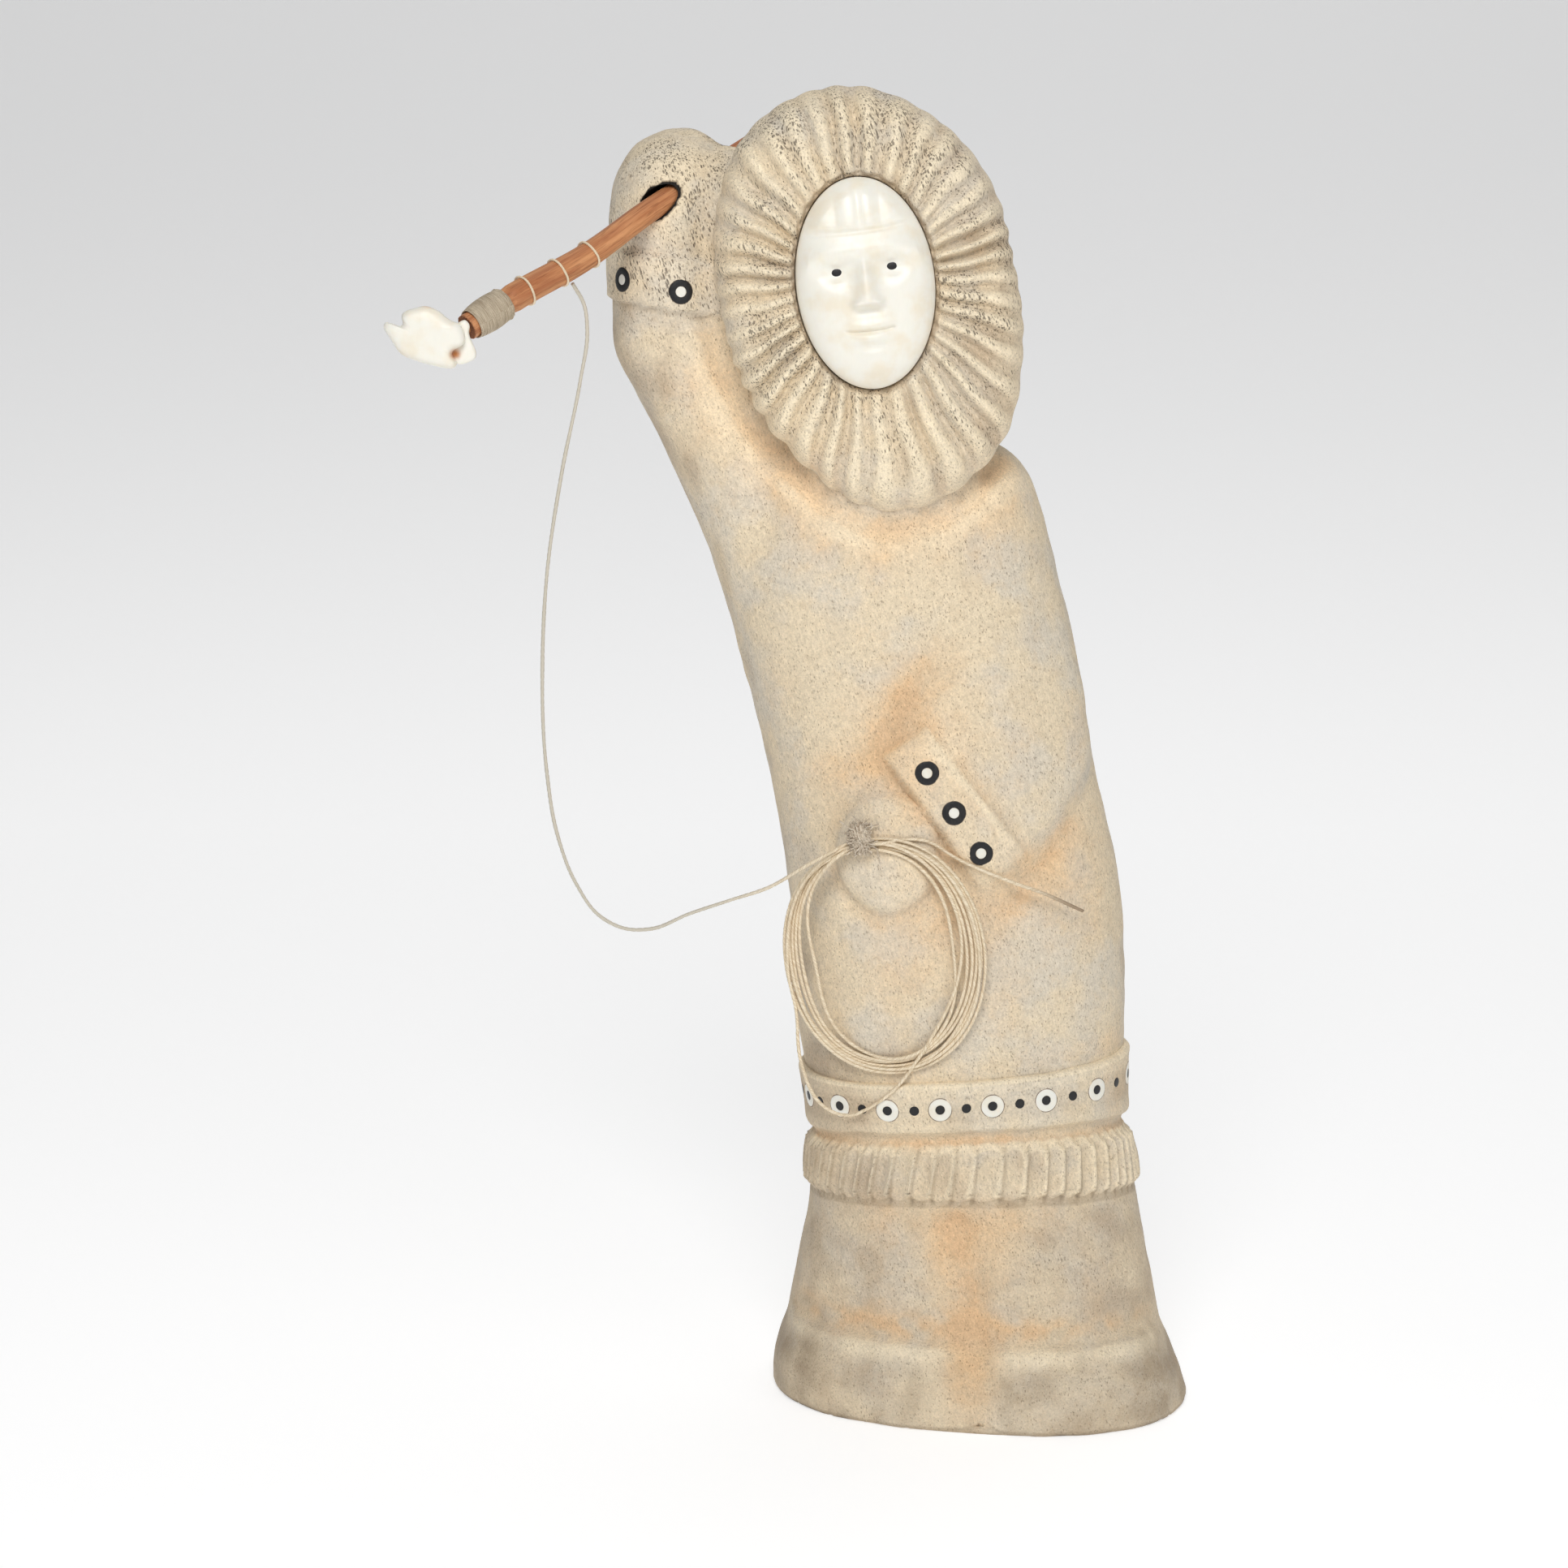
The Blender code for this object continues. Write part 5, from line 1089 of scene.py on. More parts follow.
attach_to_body(face, "root")
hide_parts("ivory_face")


for name, side in (("left", -1), ("right", 1)):
    seat = face_point(np.array(side * 0.5 * EYE_SPREAD), np.array(EYE_RISE))
    half = 0.5 * EYE_DIAMETER
    profile = [(0.8 * half, -2.2), (half, -2.0), (half, -0.05), (0.96 * half, 0.10)]
    profile += [(share * half, 0.32 - 0.22 * share**2) for share in (0.86, 0.7, 0.5, 0.3, 0.1)]
    rows = disc_rows(profile, 40)
    rows = np.stack([rows[..., 0], -rows[..., 2], rows[..., 1]], axis=-1) + seat
    peg = add_shell(f"{name}_eye", rows, horn, stain=0 * rows[..., 0])
    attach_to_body(peg, "root")
    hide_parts(f"{name}_eye_peg")


# The studs: white rings with dark middles and dark dots along the hem, and dark rings with white middles on the
# cuffs. Each is a short pin pressed into a drilled pocket, rubbed flush with the bone, with a dark line of glue.
STUD_DEPTH = 1.2
STUD_HALF = 3.2
HEM_EYE_HALF = 1.35
CUFF_EYE_HALF = 1.45
DOT_HALF = 1.35
FAR_AHEAD = 300


def bend_terms(u, v):
    """The terms of a bent surface at places on it."""
    return np.stack([1 + 0 * u, u, v, u * u, u * v, v * v], axis=-1)


class Carving:
    """The bone's surface, for finding where the pieces let into it or lying on it are."""

    def __init__(self, things):
        points, faces, start = [], [], 0
        for mesh in (thing.data for thing in things):
            mesh.calc_loop_triangles()
            corners = np.empty(3 * len(mesh.loop_triangles), np.int32)
            mesh.loop_triangles.foreach_get("vertices", corners)
            points.append(read(mesh, "co") / MM)
            faces.append(corners.reshape(-1, 3) + start)
            start += len(mesh.vertices)
        self.tree = BVHTree.FromPolygons(np.concatenate(points).tolist(), np.concatenate(faces).tolist())

    def front(self, x, z):
        """How far forward the surface comes at a place seen from the front, or none."""
        place = self.tree.ray_cast(Vector((x, -FAR_AHEAD, z)), Vector((0, 1, 0)))[0]
        return place.y if place else None

    def seat(self, centre, outward, reach):
        """A frame on the surface over a point, and the bend of the surface in it, fitted to rays over a disc."""
        place, normal = self.tree.ray_cast(centre + outward * 12, -outward)[:2]
        frame = normal.to_track_quat("Z", "Y").to_matrix().to_4x4()
        frame.translation = place
        spots = [(0.0, 0.0, 0.0)]
        for ring in (0.5 * reach, reach):
            for angle in np.arange(10) * math.tau / 10:
                across, upward = ring * math.cos(angle), ring * math.sin(angle)
                begin = frame @ Vector((across, upward, 4))
                found = self.tree.ray_cast(begin, -normal)[0]
                if found is not None and (found - begin).length < 7:
                    spots.append((across, upward, (frame.inverted() @ found).z))
        u, v, drops = np.array(spots).T
        return frame, np.linalg.lstsq(bend_terms(u, v), drops, rcond=None)[0]


def bent(rows, frame, bend):
    """Rows of a turned piece laid on a bent surface and put in its frame."""
    lifted = rows.copy()
    lifted[..., 2] += bend_terms(rows[..., 0], rows[..., 1]) @ bend
    placed = np.array(frame)
    return lifted @ placed[:3, :3].T + placed[:3, 3]


def ring_profile(outer, inner):
    """A flush ring: a narrow bevel at its outer edge, a slightly crowned top, and a rounded rim at its hole."""
    low, top = -STUD_DEPTH, 0.10
    shares = np.linspace(0.06, 0.94, 5)
    crown = [(outer + (inner - outer) * share, top + 0.06 * math.sin(math.pi * share)) for share in shares]
    outside = [(outer, low), (outer, 0.0), (outer - 0.06, top)]
    return outside + crown + [(inner + 0.06, top), (inner, 0.02), (inner, low)]


def pin_profile(half):
    """A flush pin with a slightly crowned top."""
    top = 0.10
    crown = [(half * share, top + 0.05 * (1 - share**2)) for share in (0.9, 0.7, 0.45, 0.2, 0.03)]
    return [(0.5 * half, -STUD_DEPTH), (half, -STUD_DEPTH), (half, 0.0), (half - 0.05, top)] + crown


def glue_profile(half):
    """A thin ring of dark glue in the gap round a stud, just under its top."""
    width = 0.16
    rim = [(half + width, 0.0), (half + 0.5 * width, 0.035), (half, 0.02)]
    return [(half + width, -STUD_DEPTH), *rim, (half, -STUD_DEPTH)]


carving = Carving([skirt, body])


def inlay(node, half, hole, material):
    """One inlaid ring or pin over its node. It gives back its seat, for the glue round a ring."""
    low, high = (Vector(corner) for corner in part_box(node))
    centre = (low + high) / (2 * MM)
    found = carving.tree.find_nearest(centre)
    frame_here, bend_here = carving.seat(centre, found[1], half)
    profile = ring_profile(half, hole) if hole else pin_profile(half)
    rows = bent(disc_rows(profile, 48), frame_here, bend_here)
    stain = np.zeros(rows.shape[:2])
    if hole:
        stain[:3] = 0.5
    piece = add_shell(node + "_inlay", rows, material, closed=bool(hole), stain=stain)
    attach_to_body(piece, "root")
    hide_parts(node)
    return frame_here, bend_here


glue_parts = []
for number in range(1, 10):
    stud = f"hem_stud_{number}"
    glue_parts.append((STUD_HALF, *inlay(stud, STUD_HALF, HEM_EYE_HALF, ivory)))
    inlay(stud + "_eye", HEM_EYE_HALF - 0.04, 0, horn)
for number in range(1, 9):
    inlay(f"hem_dot_{number}", DOT_HALF, 0, horn)
for place_name, count in (("lower_cuff", 3), ("raised_cuff", 2)):
    for number in range(1, count + 1):
        stud = f"{place_name}_stud_{number}"
        glue_parts.append((STUD_HALF, *inlay(stud, STUD_HALF, CUFF_EYE_HALF, horn)))
        inlay(stud + "_eye", CUFF_EYE_HALF - 0.04, 0, ivory)

glue_finish, shader, place = new_finish("dark_glue", 0.6)
specks = place.noise(0.35, 3.0)
attach(shader, Base_Color=specks.rise(0.3, 0.7).between(linear(70, 60, 52), linear(128, 112, 92)))
attach(shader, Roughness=specks * 0.3 + 0.45)
rings = [shell(bent(disc_rows(glue_profile(half), 48), *seat), closed=True) for half, *seat in glue_parts]
glue = build("stud_glue_lines", rings, glue_finish)
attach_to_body(glue, "root")


# The harpoon's shaft: a whittled stick of reddish wood through the fist, thin behind the hand and thicker in front,
# with a narrower end where the lashing sits.
SHAFT_FRONT_LENGTH = 70.0
SHAFT_REAR_LENGTH = 42.0
SHAFT_FRONT_DIAMETER = 7.7
SHAFT_TENON_DIAMETER = 7.0
SHAFT_TENON_LENGTH = 14.0
SHAFT_HAND_DIAMETER = 6.4
SHAFT_REAR_DIAMETER = 5.8
SHAFT_BOW = 1.3
SHAFT_DROP = 0.55
TENON_START = SHAFT_FRONT_LENGTH - SHAFT_TENON_LENGTH


def shaft_radius(places):
    """The shaft's radius at places along it."""
    stops = (-SHAFT_REAR_LENGTH, 0.0, TENON_START - 2, TENON_START, SHAFT_FRONT_LENGTH)
    sizes = (SHAFT_REAR_DIAMETER, SHAFT_HAND_DIAMETER, SHAFT_FRONT_DIAMETER, SHAFT_TENON_DIAMETER, SHAFT_TENON_DIAMETER)
    return 0.5 * np.interp(places, stops, sizes)


def shaft_line(places):
    """The middle of the shaft in the harpoon's frame: it rests low in the hole and bows a little in front."""
    places = np.asarray(places, float)
    share = np.clip(places / TENON_START, 0, 1)
    sag = SHAFT_DROP + SHAFT_BOW * np.sin(math.pi * share) ** 2
    down = -HARPOON_TURN[2, :2] / np.linalg.norm(HARPOON_TURN[2, :2])
    return np.stack([down[0] * sag, down[1] * sag, places], axis=-1)


def make_wood():
    """Reddish oiled wood with long fine grain, pores, darker end grain and a few pale rubbed streaks."""
    material, shader, place = new_finish("oiled_wood", 0.5, Specular_IOR_Level=0.4)
    local = field(place, "along", output=1)
    end = field(place, "end")
    bands = local.stretched((1.0, 1.0, 0.05)).noise(1.5, 4.0, 0.6)
    grain = local.stretched((1.0, 1.0, 0.045)).noise(0.35, 3.0, 0.7)
    blotch = local.stretched((1.0, 1.0, 0.3)).noise(6.0, 3.0)
    colour = bands.rise(0.35, 0.66).between(linear(176, 112, 72), linear(212, 152, 104))
    colour = (grain.rise(0.50, 0.68) * 0.6).between(colour, linear(128, 72, 44))
    colour = (blotch.rise(0.50, 0.72) * 0.45).between(colour, linear(160, 94, 60))
    rough_end = local.noise(0.5, 3.0, 0.7)
    end_colour = rough_end.rise(0.40, 0.62).between(linear(96, 52, 30), linear(206, 140, 96))
    colour = end.between(colour, end_colour)
    height = (grain * 0.7 + bands * 0.5) * (1 - end) + rough_end * end * 3.0
    attach(shader, Base_Color=colour, Roughness=grain * 0.25 + 0.36 + end * 0.3, Normal=relief(height, 0.10))
    return material


wood = make_wood()


def shaft_rows():
    """Rows along the shaft and their own places: a round stick with seven soft knife facets that wander."""
    turns = np.linspace(0, math.tau, 84, endpoint=False)
    end = SHAFT_FRONT_LENGTH
    places = np.concatenate([np.linspace(-SHAFT_REAR_LENGTH, end - 0.4, 220), [end - 0.1, end]])
    lean = 0.5 * np.sin(places / 31) + 0.3 * np.sin(places / 13 + 1)
    facet = np.cos(math.pi / 7) / np.cos(np.mod(turns[None, :] + lean[:, None], math.tau / 7) - math.pi / 7)
    radius = shaft_radius(places)[:, None] * (1 - 0.35 * (1 - facet) - 0.012)
    radius = radius * (1 + 0.008 * np.sin(places / 4.5)[:, None])
    radius[-1] *= 0.94
    radius[-2] *= 0.99
    middle, shares = shaft_line(places), np.array([0.75, 0.5, 0.25])[:, None]
    rows = middle[:, None, :] + turned(radius, turns, 0)
    cap = middle[-1] + turned(radius[-1] * shares, turns, -0.25)
    local = turned(radius, turns, places[:, None])
    rows = np.concatenate([rows, cap])
    local = np.concatenate([local, local[-1] * shares[..., None]])
    cut = np.zeros(rows.shape[:2])
    cut[-4:] = 1.0
    cut[-5] = 0.6
    return rows, local, cut


rows, local, end = shaft_rows()
shaft = add_shell("whittled_shaft", in_world(rows), wood, sharp=60, along=local, end=end)
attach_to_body(shaft, "root")
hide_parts("harpoon_shaft")


# The sinew on the shaft: three thin threads tied round it, and a barrel of close turns whipped round the front end,
# finished with a frayed row at its rear.
BAND_PLACES = (27.0, 38.0, 49.5)
BAND_DIAMETER = 0.7
TOUCH_GAP = 0.3
LASHING_LENGTH = 11.5
LASHING_THICKNESS = 0.8
LASHING_SETBACK = 1.6
LASHING_TURNS = 26


def make_sinew(name, pale, dark, fray=0.4):
    """Dried sinew: twisted strands that vary in tone along the thread, with a waxy sheen."""
    material, shader, place = new_finish(name, 0.62, Specular_IOR_Level=0.35)
    local = field(place, "along", output=1)
    strands = local.stretched((3.2, 1.0, 0.22)).noise(1.0, 3.0, 0.6)
    stretch = local.stretched((0.2, 0.2, 0.035)).noise(1.0, 3.0)
    colour = (strands.rise(0.36, 0.66) * 0.8 + stretch * 0.4).rise(0.05, 1.0).between(pale, dark)
    colour = field(place, "dry").between(colour, linear(198, 193, 180))
    colour = field(place, "brown").between(colour, linear(150, 128, 104))
    attach(shader, Base_Color=colour, Roughness=strands * 0.25 + 0.45, Normal=relief(strands, fray * 0.16))
    return material


thread_finish = make_sinew("pale_sinew_thread", linear(246, 232, 206), linear(214, 193, 160))
whipping_finish = make_sinew("taupe_sinew_whipping", linear(218, 204, 180), linear(154, 136, 112), 0.9)

for number, at in enumerate(BAND_PLACES):
    turns = np.linspace(0, math.tau, 120, endpoint=False)[:, None]
    across = np.linspace(0, math.tau, 14, endpoint=False)
    half = 0.5 * BAND_DIAMETER * (0.78 + 0.18 * np.abs(np.cos(across - 16 * turns)))
    middle = float(shaft_radius(at)) * 0.985 + 0.24
    wave = 0.25 * np.sin(turns + number) + 0.08 * np.sin(3 * turns + number)
    rows = turned(middle + half * np.cos(across), turns, half * np.sin(across) + wave)
    local = np.stack([across + 0 * half, 0 * half, turns * middle + 0 * half], axis=-1)
    rows = in_world(rows + shaft_line(at))
    band = add_shell(f"thread_band_{number + 1}", rows, thread_finish, closed=True, along=local)
    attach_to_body(band, "root")
    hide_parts(f"shaft_band_{number + 1}")


def lashing_rows():
    """The whipping: a barrel whose surface rises and falls with each turn of the strand, and a bumpy rear row."""
    turns = np.linspace(0, math.tau, 132, endpoint=False)
    share = np.linspace(0, 1, 200)[:, None]
    inner = shaft_radius(SHAFT_FRONT_LENGTH) + 0.12
    barrel = np.sin(math.pi * np.clip(share * 0.82 + 0.06, 0, 1)) ** 0.8
    wind = share * LASHING_TURNS + turns / math.tau + 0.25 * np.sin(2 * turns + 9 * share) + 0.5 * np.sin(7 * share)
    coil = np.abs(np.sin(math.pi * wind)) ** 0.6
    slack = 0.10 * np.sin(5 * turns + 14 * share) + 0.08 * np.sin(11 * turns + 31 * share)
    rear = mound(share - 0.955, 0.035)
    knots = np.abs(np.sin(13 * turns + 2 * np.sin(3 * turns)))
    proud = 1.25 * barrel - 0.1 + 0.16 * coil * (1 - rear) + 0.12 * slack + rear * (0.15 + 0.45 * knots)
    along = -share * LASHING_LENGTH + rear * 0.25 * np.sin(9 * turns)
    outside = turned(inner + LASHING_THICKNESS * proud, turns, along)
    back = turned(inner, turns, -LASHING_LENGTH * np.array([0.97, 0.5, 0.03])[:, None])
    lap = (turns / math.tau + np.round(share * LASHING_TURNS)) * 22.0
    local = np.stack([share * LASHING_TURNS * 1.7 + 0 * turns, 0 * along, lap], axis=-1)
    return np.concatenate([outside, back]), np.concatenate([local, local[-3:]])


rows, local = lashing_rows()
lashing_place = shaft_line(SHAFT_FRONT_LENGTH - LASHING_SETBACK)
lashing = add_shell("sinew_whipping", in_world(rows + lashing_place), whipping_finish, closed=True, along=local)
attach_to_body(lashing, "root")
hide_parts("front_lashing")


# The harpoon's head: a notched leaf of ivory with a smaller fin behind it, pushed on a short peg in the shaft's end.
# It is ground to a soft crown, and stained orange in its notch and along its upper edge.
HEAD_LEAF = (
    (-20.4, 1.5), (-18.4, 1.0), (-15.8, 0.6), (-15.9, 3.5), (-14.7, 4.4), (-12.4, 5.1), (-10.1, 5.6),
    (-7.0, 4.6), (-3.7, 2.1), (-1.2, 0.9), (0.0, -1.4), (-0.1, -3.8), (-2.6, -5.5), (-3.4, -6.3), (-2.6, -7.8),
    (-2.2, -9.9), (-5.8, -10.0), (-9.3, -9.2), (-12.6, -8.2), (-16.0, -6.7), (-18.6, -3.2),
)
HEAD_FIN = (
    (-4.4, -0.8), (-1.6, 1.4), (0.0, 2.0), (1.2, 0.9), (1.0, -1.0), (2.8, -7.2), (2.2, -8.1), (-2.2, -9.1),
    (-4.6, -6.2),
)
LEAF_CORNERS = (0, 2, 3, 13, 15)
FIN_CORNERS = (3, 5, 6)
LEAF_FRONT = 8.9
LEAF_BACK = 3.6
FIN_FRONT = 5.6
FIN_BACK = 3.2
FORESHAFT_DIAMETER = 3.0
FORESHAFT_LENGTH = 9.0
# Orange stains of the head: across, up, squeezed across and up, reach and strength.
HEAD_STAINS = (
    (-2.4, -6.6, 1.0, 1.0, 1.5, 0.95), (-9.0, 5.6, 0.4, 1.0, 0.9, 0.42),
    (-15.9, 3.6, 1.0, 1.0, 0.9, 0.35), (-3.0, 0.6, 1.0, 0.5, 1.0, 0.30),
)


def outline(points, corners, count):
    """A smooth closed outline through points. A corner is held by two points close on either side of it."""
    held = []
    for k, point in enumerate(np.array(points, float)):
        if k in corners:
            before, after = np.array(points[k - 1]) - point, np.array(points[(k + 1) % len(points)]) - point
            held += [point + 0.3 * way / np.linalg.norm(way) for way in (before, after)]
        else:
            held.append(point)
    held = np.array(held)
    steps = np.linalg.norm(np.roll(held, -1, axis=0) - held, axis=1)
    knots = np.concatenate([[0], np.cumsum(steps)])
    return through(knots[:-1], held, np.linspace(0, knots[-1], count, endpoint=False), around=knots[-1])


def blade_rows(edge, back, front, crown):
    """A flat piece facing the viewer: a chamfered back, a rounded side and a crowned front."""
    middle, thick = edge.mean(axis=0), front - back
    sections = [(0.3, back + 0.04 * thick), (0.84, back), (0.93, back + 0.06 * thick), (0.985, back + 0.2 * thick)]
    sections += [(1.0, back + share * thick) for share in (0.35, 0.5, 0.6)]
    for share in (0.992, 0.975, 0.95, 0.91, 0.86, 0.8, 0.72, 0.62, 0.5, 0.36, 0.2, 0.05):
        sections.append((share, back + 0.6 * thick + (0.4 * thick + crown) * (1 - share**5) ** 0.5))
    flat = [(middle + (edge - middle) * share, depth) for share, depth in sections]
    return np.array([np.stack([e[:, 0], 0 * e[:, 0] - depth, e[:, 1]], axis=-1) for e, depth in flat])


head_place = in_world(shaft_line(SHAFT_FRONT_LENGTH))
blades = []
for points_in, corners, count, back, front, crown in (
    (HEAD_LEAF, LEAF_CORNERS, 180, LEAF_BACK, LEAF_FRONT, 0.5),
    (HEAD_FIN, FIN_CORNERS, 120, FIN_BACK, FIN_FRONT, 0.0),
):
    rows = blade_rows(outline(points_in, corners, count), back, front, crown)
    stain = np.clip(patches(HEAD_STAINS, rows[..., 0], rows[..., 2]), 0, 1)
    blades.append(shell(rows + head_place, stain=stain))
head = build("harpoon_head_ivory", blades, ivory, 50)
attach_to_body(head, "root")
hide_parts("harpoon_head")

peg_half = 0.5 * FORESHAFT_DIAMETER
peg_profile = [(0.3 * peg_half, 0.0), (peg_half, 0.0), (peg_half, 0.5 * FORESHAFT_LENGTH)]
peg_profile += [(0.95 * peg_half, FORESHAFT_LENGTH - 0.5), (0.6 * peg_half, FORESHAFT_LENGTH - 0.3)]
rows = disc_rows(peg_profile, 32)
placed = in_world(rows + shaft_line(SHAFT_FRONT_LENGTH))
peg = add_shell("foreshaft_peg", placed, wood, sharp=50, along=rows, end=0 * rows[..., 0])
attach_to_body(peg, "root")
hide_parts("foreshaft")


# The line: one thin two-ply cord of twisted sinew. It hangs from under the shaft, goes to the knot on the mitten,
# makes eight turns of a hanging coil on the belly, and ends in a short bare end across the sleeve.
LINE_DIAMETER = 1.0
LINE_PLACE = 33.0
COIL_CENTRE = (-28.2, 134.4)
COIL_HALF = (25.2, 32.6)
COIL_LEAN = math.radians(9.5)
COIL_SWING = math.radians(13)
LINE_STEP = 0.62
LINE_PITCH = 3.4
HANGING_STEPS = 150
TAIL_STEPS = 60
SHAFT_SLOPE = math.radians(26)
OWN_NEIGHBOURS = 14
LINE_ROUTE = (
    (-108.2, -34.8, 311.0), (-107.5, -35.6, 304.0), (-109.3, -37.0, 292.0), (-114.5, -39.0, 267.0),
    (-118.5, -41.0, 241.0), (-119.9, -42.5, 218.0), (-119.1, -43.5, 188.0), (-116.5, -44.0, 171.0),
    (-111.3, -44.2, 156.8), (-105.4, -44.2, 148.4), (-98.4, -44.0, 144.7), (-90.9, -43.6, 144.6),
    (-81.4, -43.0, 148.4), (-69.9, -42.4, 152.2), (-59.5, -41.8, 155.6), (-49.5, -41.4, 161.4),
)
TAIL_ROUTE = (
    (-16.0, -41.2, 167.0), (-9.6, -41.0, 163.0), (-3.4, -41.0, 160.0),
    (6.0, -40.0, 155.8), (16.0, -38.0, 151.8), (26.8, -34.0, 146.2),
)
# How far each turn of the coil lies outside the oval, at eighths of a turn clockwise from the knot.
COIL_TURNS = (
    (0.6, 1.9, 1.5, -0.2, -1.4, 0.1, 0.7, 1.1),
    (-0.6, 1.0, 0.3, -1.0, -0.5, 1.2, -0.6, 0.3),
    (0.3, 0.3, -0.9, -2.1, -2.7, -0.9, -1.7, -0.5),
    (1.0, 2.6, 2.5, 1.9, 0.4, 1.4, 1.6, 1.5),
    (-1.0, -0.8, -2.3, -3.2, -3.2, -1.8, -2.9, -1.2),
    (0.0, 1.3, 0.9, 0.7, -0.6, 0.5, 0.2, 0.9),
    (-1.2, -3.0, -6.0, -4.6, -3.7, -3.9, -6.4, -2.4),
)
# The last turn slips down over the hem: eighths and sixteenths of a turn, and how far outside the oval.
LOOSE_TURN = (
    (0, 0.4), (45, -1.0), (90, -3.6), (112, -5.2), (135, -6.1), (157, -4.6), (170, -1.6), (180, 2.4),
    (195, 9.6), (207, 15.4), (219, 15.6), (232, 10.4), (247, 3.6), (270, 1.3), (315, 1.1), (350, 0.6),
)


def even_points(route, count):
    """Points at equal steps along a smooth curve through a route."""
    route = np.asarray(route, float)
    knots = np.concatenate([[0], np.cumsum(np.linalg.norm(np.diff(route, axis=0), axis=1))])
    fine = through(knots, route, np.linspace(0, knots[-1], 40 * len(route)))
    along = np.concatenate([[0], np.cumsum(np.linalg.norm(np.diff(fine, axis=0), axis=1))])
    steps = np.linspace(0, along[-1], count)
    return np.stack([np.interp(steps, along, fine[:, k]) for k in range(3)], axis=-1)


def smoothed(values, rounds):
    """Values averaged with their neighbours a number of times, with the ends held."""
    for _ in range(rounds):
        values = np.concatenate([values[:1], (values[:-2] + 2 * values[1:-1] + values[2:]) / 4, values[-1:]])
    return values


def coil_places():
    """The coil's turns seen from the front, with the depth of the plane that they hang in."""
    knots, offsets = [], []
    for number, turn in enumerate(COIL_TURNS):
        knots += [360 * number + 45 * k for k in range(8)]
        offsets += list(turn)
    knots += [360 * len(COIL_TURNS) + angle for angle, _ in LOOSE_TURN]
    offsets += [offset for _, offset in LOOSE_TURN]
    angles = np.arange(0, 360 * (len(COIL_TURNS) + 1), 5.0)
    out = through(knots, offsets, angles)
    turn = np.radians(angles)
    lean = np.array([-math.sin(COIL_LEAN), math.cos(COIL_LEAN)])
    side = np.array([math.cos(COIL_LEAN), math.sin(COIL_LEAN)])
    oval = np.cos(turn)[:, None] * lean * COIL_HALF[1] + np.sin(turn)[:, None] * side * COIL_HALF[0]
    way = oval / np.linalg.norm(oval, axis=1)[:, None]
    flat = COIL_CENTRE + oval + way * out[:, None]
    share = 0.5 + 0.5 * np.cos(turn)
    top, bottom = (carving.front(*(COIL_CENTRE + sign * lean * COIL_HALF[1])) for sign in (1, -1))
    swing = math.sin(COIL_SWING) * COIL_HALF[0] * np.sin(turn)
    plane = bottom + (top - bottom) * share - 1.1 - np.where(swing > 0, 0.45 * swing, swing)
    return np.stack([flat[:, 0], plane, flat[:, 1]], axis=-1)


def lay(points, radius):
    """Points brought forward to clear the bone and the cord already laid: each passes over what it crosses."""
    points = np.array(points)
    for k in range(len(points)):
        x, y, z = points[k]
        fronts = [carving.front(x + dx, z + dz) for dx, dz in ((0, 0), (0.9, 0), (-0.9, 0), (0, 0.9), (0, -0.9))]
        fronts = [one for one in fronts if one is not None]
        if fronts:
            y = min(y, min(fronts) - radius - 0.12)
        earlier = points[: max(0, k - OWN_NEIGHBOURS)]
        if len(earlier):
            far = np.hypot(earlier[:, 0] - x, earlier[:, 2] - z)
            near = far < 1.7 * radius
            if near.any():
                y = min(y, (earlier[near, 1] - np.sqrt((1.7 * radius) ** 2 - far[near] ** 2)).min())
        points[k, 1] = y
    points[:, 1] = np.minimum(points[:, 1], smoothed(points[:, 1], 6)) * 0.35 + smoothed(points[:, 1], 4) * 0.65
    for point in points:
        front = carving.front(point[0], point[2])
        if front is not None:
            point[1] = min(point[1], front - 0.9 * radius)
    points[:, 1] = smoothed(points[:, 1], 1)
    return points


def cord_rows(path, radius, sides, pitch, plies=2):
    """A twisted cord along a path: rings that turn with the twist, a little narrower between the plies."""
    along = np.concatenate([[0], np.cumsum(np.linalg.norm(np.diff(path, axis=0), axis=1))])
    ahead = np.gradient(path, axis=0)
    ahead /= np.linalg.norm(ahead, axis=1)[:, None]
    side = np.cross(ahead, np.array([0.0, -1.0, 0.02]))
    side /= np.linalg.norm(side, axis=1)[:, None]
    up = np.cross(side, ahead)
    turns = np.linspace(0, math.tau, sides, endpoint=False)
    twist = math.tau * along / pitch
    size = radius * (0.86 + 0.15 * np.abs(np.cos(0.5 * plies * (turns[None, :] - twist[:, None]))))
    size = size * (1 + 0.05 * np.sin(along / 7) + 0.04 * np.sin(along / 2.3))[:, None]
    strand = turns[None, :] - twist[:, None]
    rows = path[:, None, :] + size[..., None] * (
        np.cos(turns)[None, :, None] * side[:, None, :] + np.sin(turns)[None, :, None] * up[:, None, :]
    )
    local = np.stack([np.cos(strand), np.sin(strand), along[:, None] + 0 * strand], axis=-1)
    return rows, local


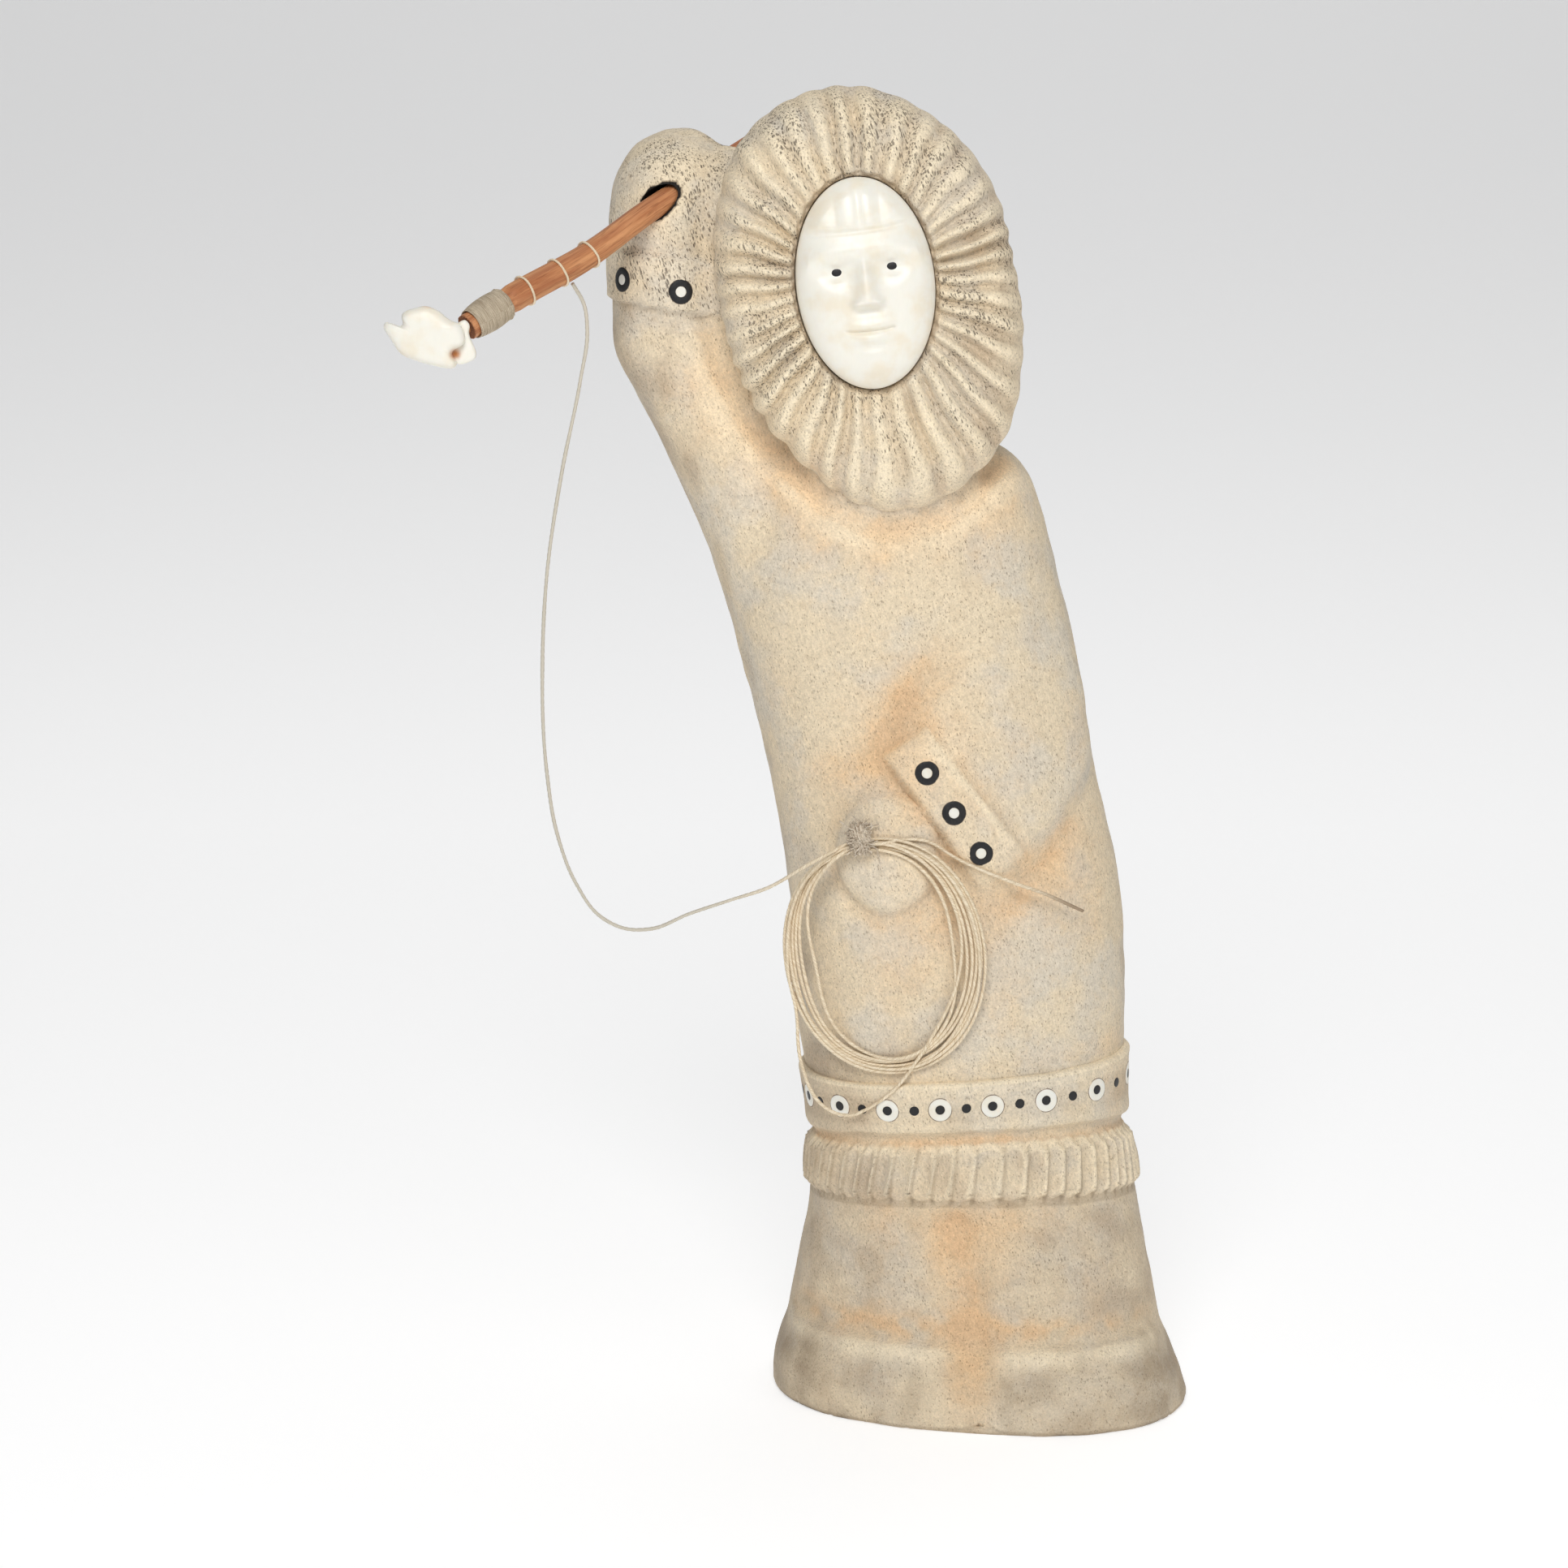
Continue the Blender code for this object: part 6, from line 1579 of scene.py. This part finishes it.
coil = lay(coil_places(), 0.5 * LINE_DIAMETER)
shaft_under = in_world(shaft_line(LINE_PLACE))
drop = (float(shaft_radius(LINE_PLACE)) + TOUCH_GAP) / math.cos(SHAFT_SLOPE) + 0.5 * LINE_DIAMETER
line_start = shaft_under - np.array([0, 0, drop])
hanging = even_points([line_start, *LINE_ROUTE, coil[0] + (-4.5, -0.6, -0.4)], HANGING_STEPS)
tail = even_points([coil[-1] + (3.2, -0.4, 0.3), *TAIL_ROUTE], TAIL_STEPS)
tail[6:, 1] += 6
hanging[-16:] = lay(hanging[-16:], 0.5 * LINE_DIAMETER)
tail = lay(tail, 0.5 * LINE_DIAMETER)
route = np.concatenate([hanging[:-1], coil, tail[1:]])
route_length = np.linalg.norm(np.diff(route, axis=0), axis=1).sum()
path = even_points(route, round(route_length / LINE_STEP))
line_length = float(np.linalg.norm(np.diff(path, axis=0), axis=1).sum())
rows, local = cord_rows(path, 0.5 * LINE_DIAMETER, 8, LINE_PITCH)
along = np.linspace(0, line_length, len(rows))[:, None] + 0 * rows[..., 0]
hanging_length = np.linalg.norm(np.diff(hanging, axis=0), axis=1).sum()
dry = 0.85 * smooth_step(hanging_length, hanging_length - 50, along)
brown = 0.9 * smooth_step(line_length - 22, line_length - 2, along)
line = add_shell("twisted_line", rows, thread_finish, along=local, dry=dry, brown=brown)
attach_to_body(line, "root")
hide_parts("sinew_line", "line_coil", "line_tail")


# The knot: the coil is tied to the mitten by a few rough turns of darker sinew, whose frayed ends stand up in a tuft.
KNOT_LENGTH = 6.2
KNOT_TURNS = 7
KNOT_HALF = 3.8
KNOT_FIBRES = 300
KNOT_SHIFT = (-1.3, -0.2, 2.0)
FIBRE_PITCH = 9

knot_finish = make_sinew("frayed_knot_sinew", linear(250, 238, 218), linear(172, 152, 128), 1.3)


def knot_parts():
    """A bumpy ball of turns round the coil, a coat of short fibres, and one long loose fibre."""
    chance = np.random.default_rng(4)
    low, high = (np.array(corner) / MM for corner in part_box("line_knot"))
    middle = (low + high) / 2 + KNOT_SHIFT
    middle[1] = coil[:3, 1].mean() - 1.0
    ahead = coil[2] - coil[-3]
    ahead = np.array([ahead[0], 0.0, ahead[2]]) / math.hypot(ahead[0], ahead[2])
    out = np.array([0.0, -1.0, 0.0])
    up = np.cross(out, ahead)
    up = up if up[2] > 0 else -up
    turns = np.linspace(0, math.tau, 96, endpoint=False)
    share = np.linspace(-1, 1, 60)[:, None]
    lean = share + 0.10 * np.sin(2 * turns + 3 * share) + 0.06 * np.sin(5 * turns)
    wraps = np.abs(np.cos(0.5 * math.pi * KNOT_TURNS * lean))
    lump = 1 + 0.07 * np.sin(3 * turns + 2 * share) + 0.06 * np.sin(7 * turns + 5 * share)
    lump += 0.04 * np.sin(17 * turns + 8 * share)
    size = KNOT_HALF * (1 - 0.55 * np.abs(share) ** 3) * lump * (0.84 + 0.18 * wraps**0.6)
    tall, deep = 1.1 * size * np.sin(turns), 0.80 * size * np.cos(turns)
    rows = middle + share[..., None] * 0.5 * KNOT_LENGTH * ahead + tall[..., None] * up + deep[..., None] * out
    local = np.stack([share * 7 + 0 * turns, 0 * tall, turns * 3.4 + 9 * np.round(share * 3)], axis=-1)
    pieces = [shell(rows, along=local)]
    for number in range(KNOT_FIBRES):
        angle, part = chance.uniform(-0.1, 1.1) * math.pi, chance.uniform(-0.95, 0.95)
        thick = KNOT_HALF * (1 - 0.5 * abs(part) ** 3)
        side = math.cos(angle) * up + math.sin(angle) * out
        around = 1.1 * math.cos(angle) * up + 0.8 * math.sin(angle) * out
        root = middle + part * 0.5 * KNOT_LENGTH * ahead + 0.82 * thick * around
        reach = chance.uniform(0.9, 2.1) * (1.3 if angle < 0.35 * math.pi else 1.0)
        way = 0.55 * side + ahead * chance.uniform(-1.0, 1.0) + up * chance.uniform(-0.5, 0.6)
        bend_way = ahead * chance.uniform(-0.9, 0.9) + up * chance.uniform(-0.9, 0.5) - 0.3 * side
        steps = np.linspace(0, 1, 8)[:, None]
        fibre = root + reach * (steps * way + steps**2 * bend_way * 0.7)
        thin, thin_local = cord_rows(fibre, chance.uniform(0.13, 0.26), 5, FIBRE_PITCH)
        pieces.append(shell(thin, along=thin_local + 1.7 * number))
    loose = middle + np.array([[2.6, -2.2, -1.0], [4.4, -2.4, -2.6], [5.2, -1.6, -5.2], [5.6, -0.6, -8.6]])
    rows, local = cord_rows(even_points(loose, 14), 0.16, 5, FIBRE_PITCH)
    pieces.append(shell(rows, along=local))
    return pieces


knot = build("frayed_knot", knot_parts(), knot_finish)
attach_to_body(knot, "root")
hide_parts("line_knot")
tuple((line_start * MM).tolist())
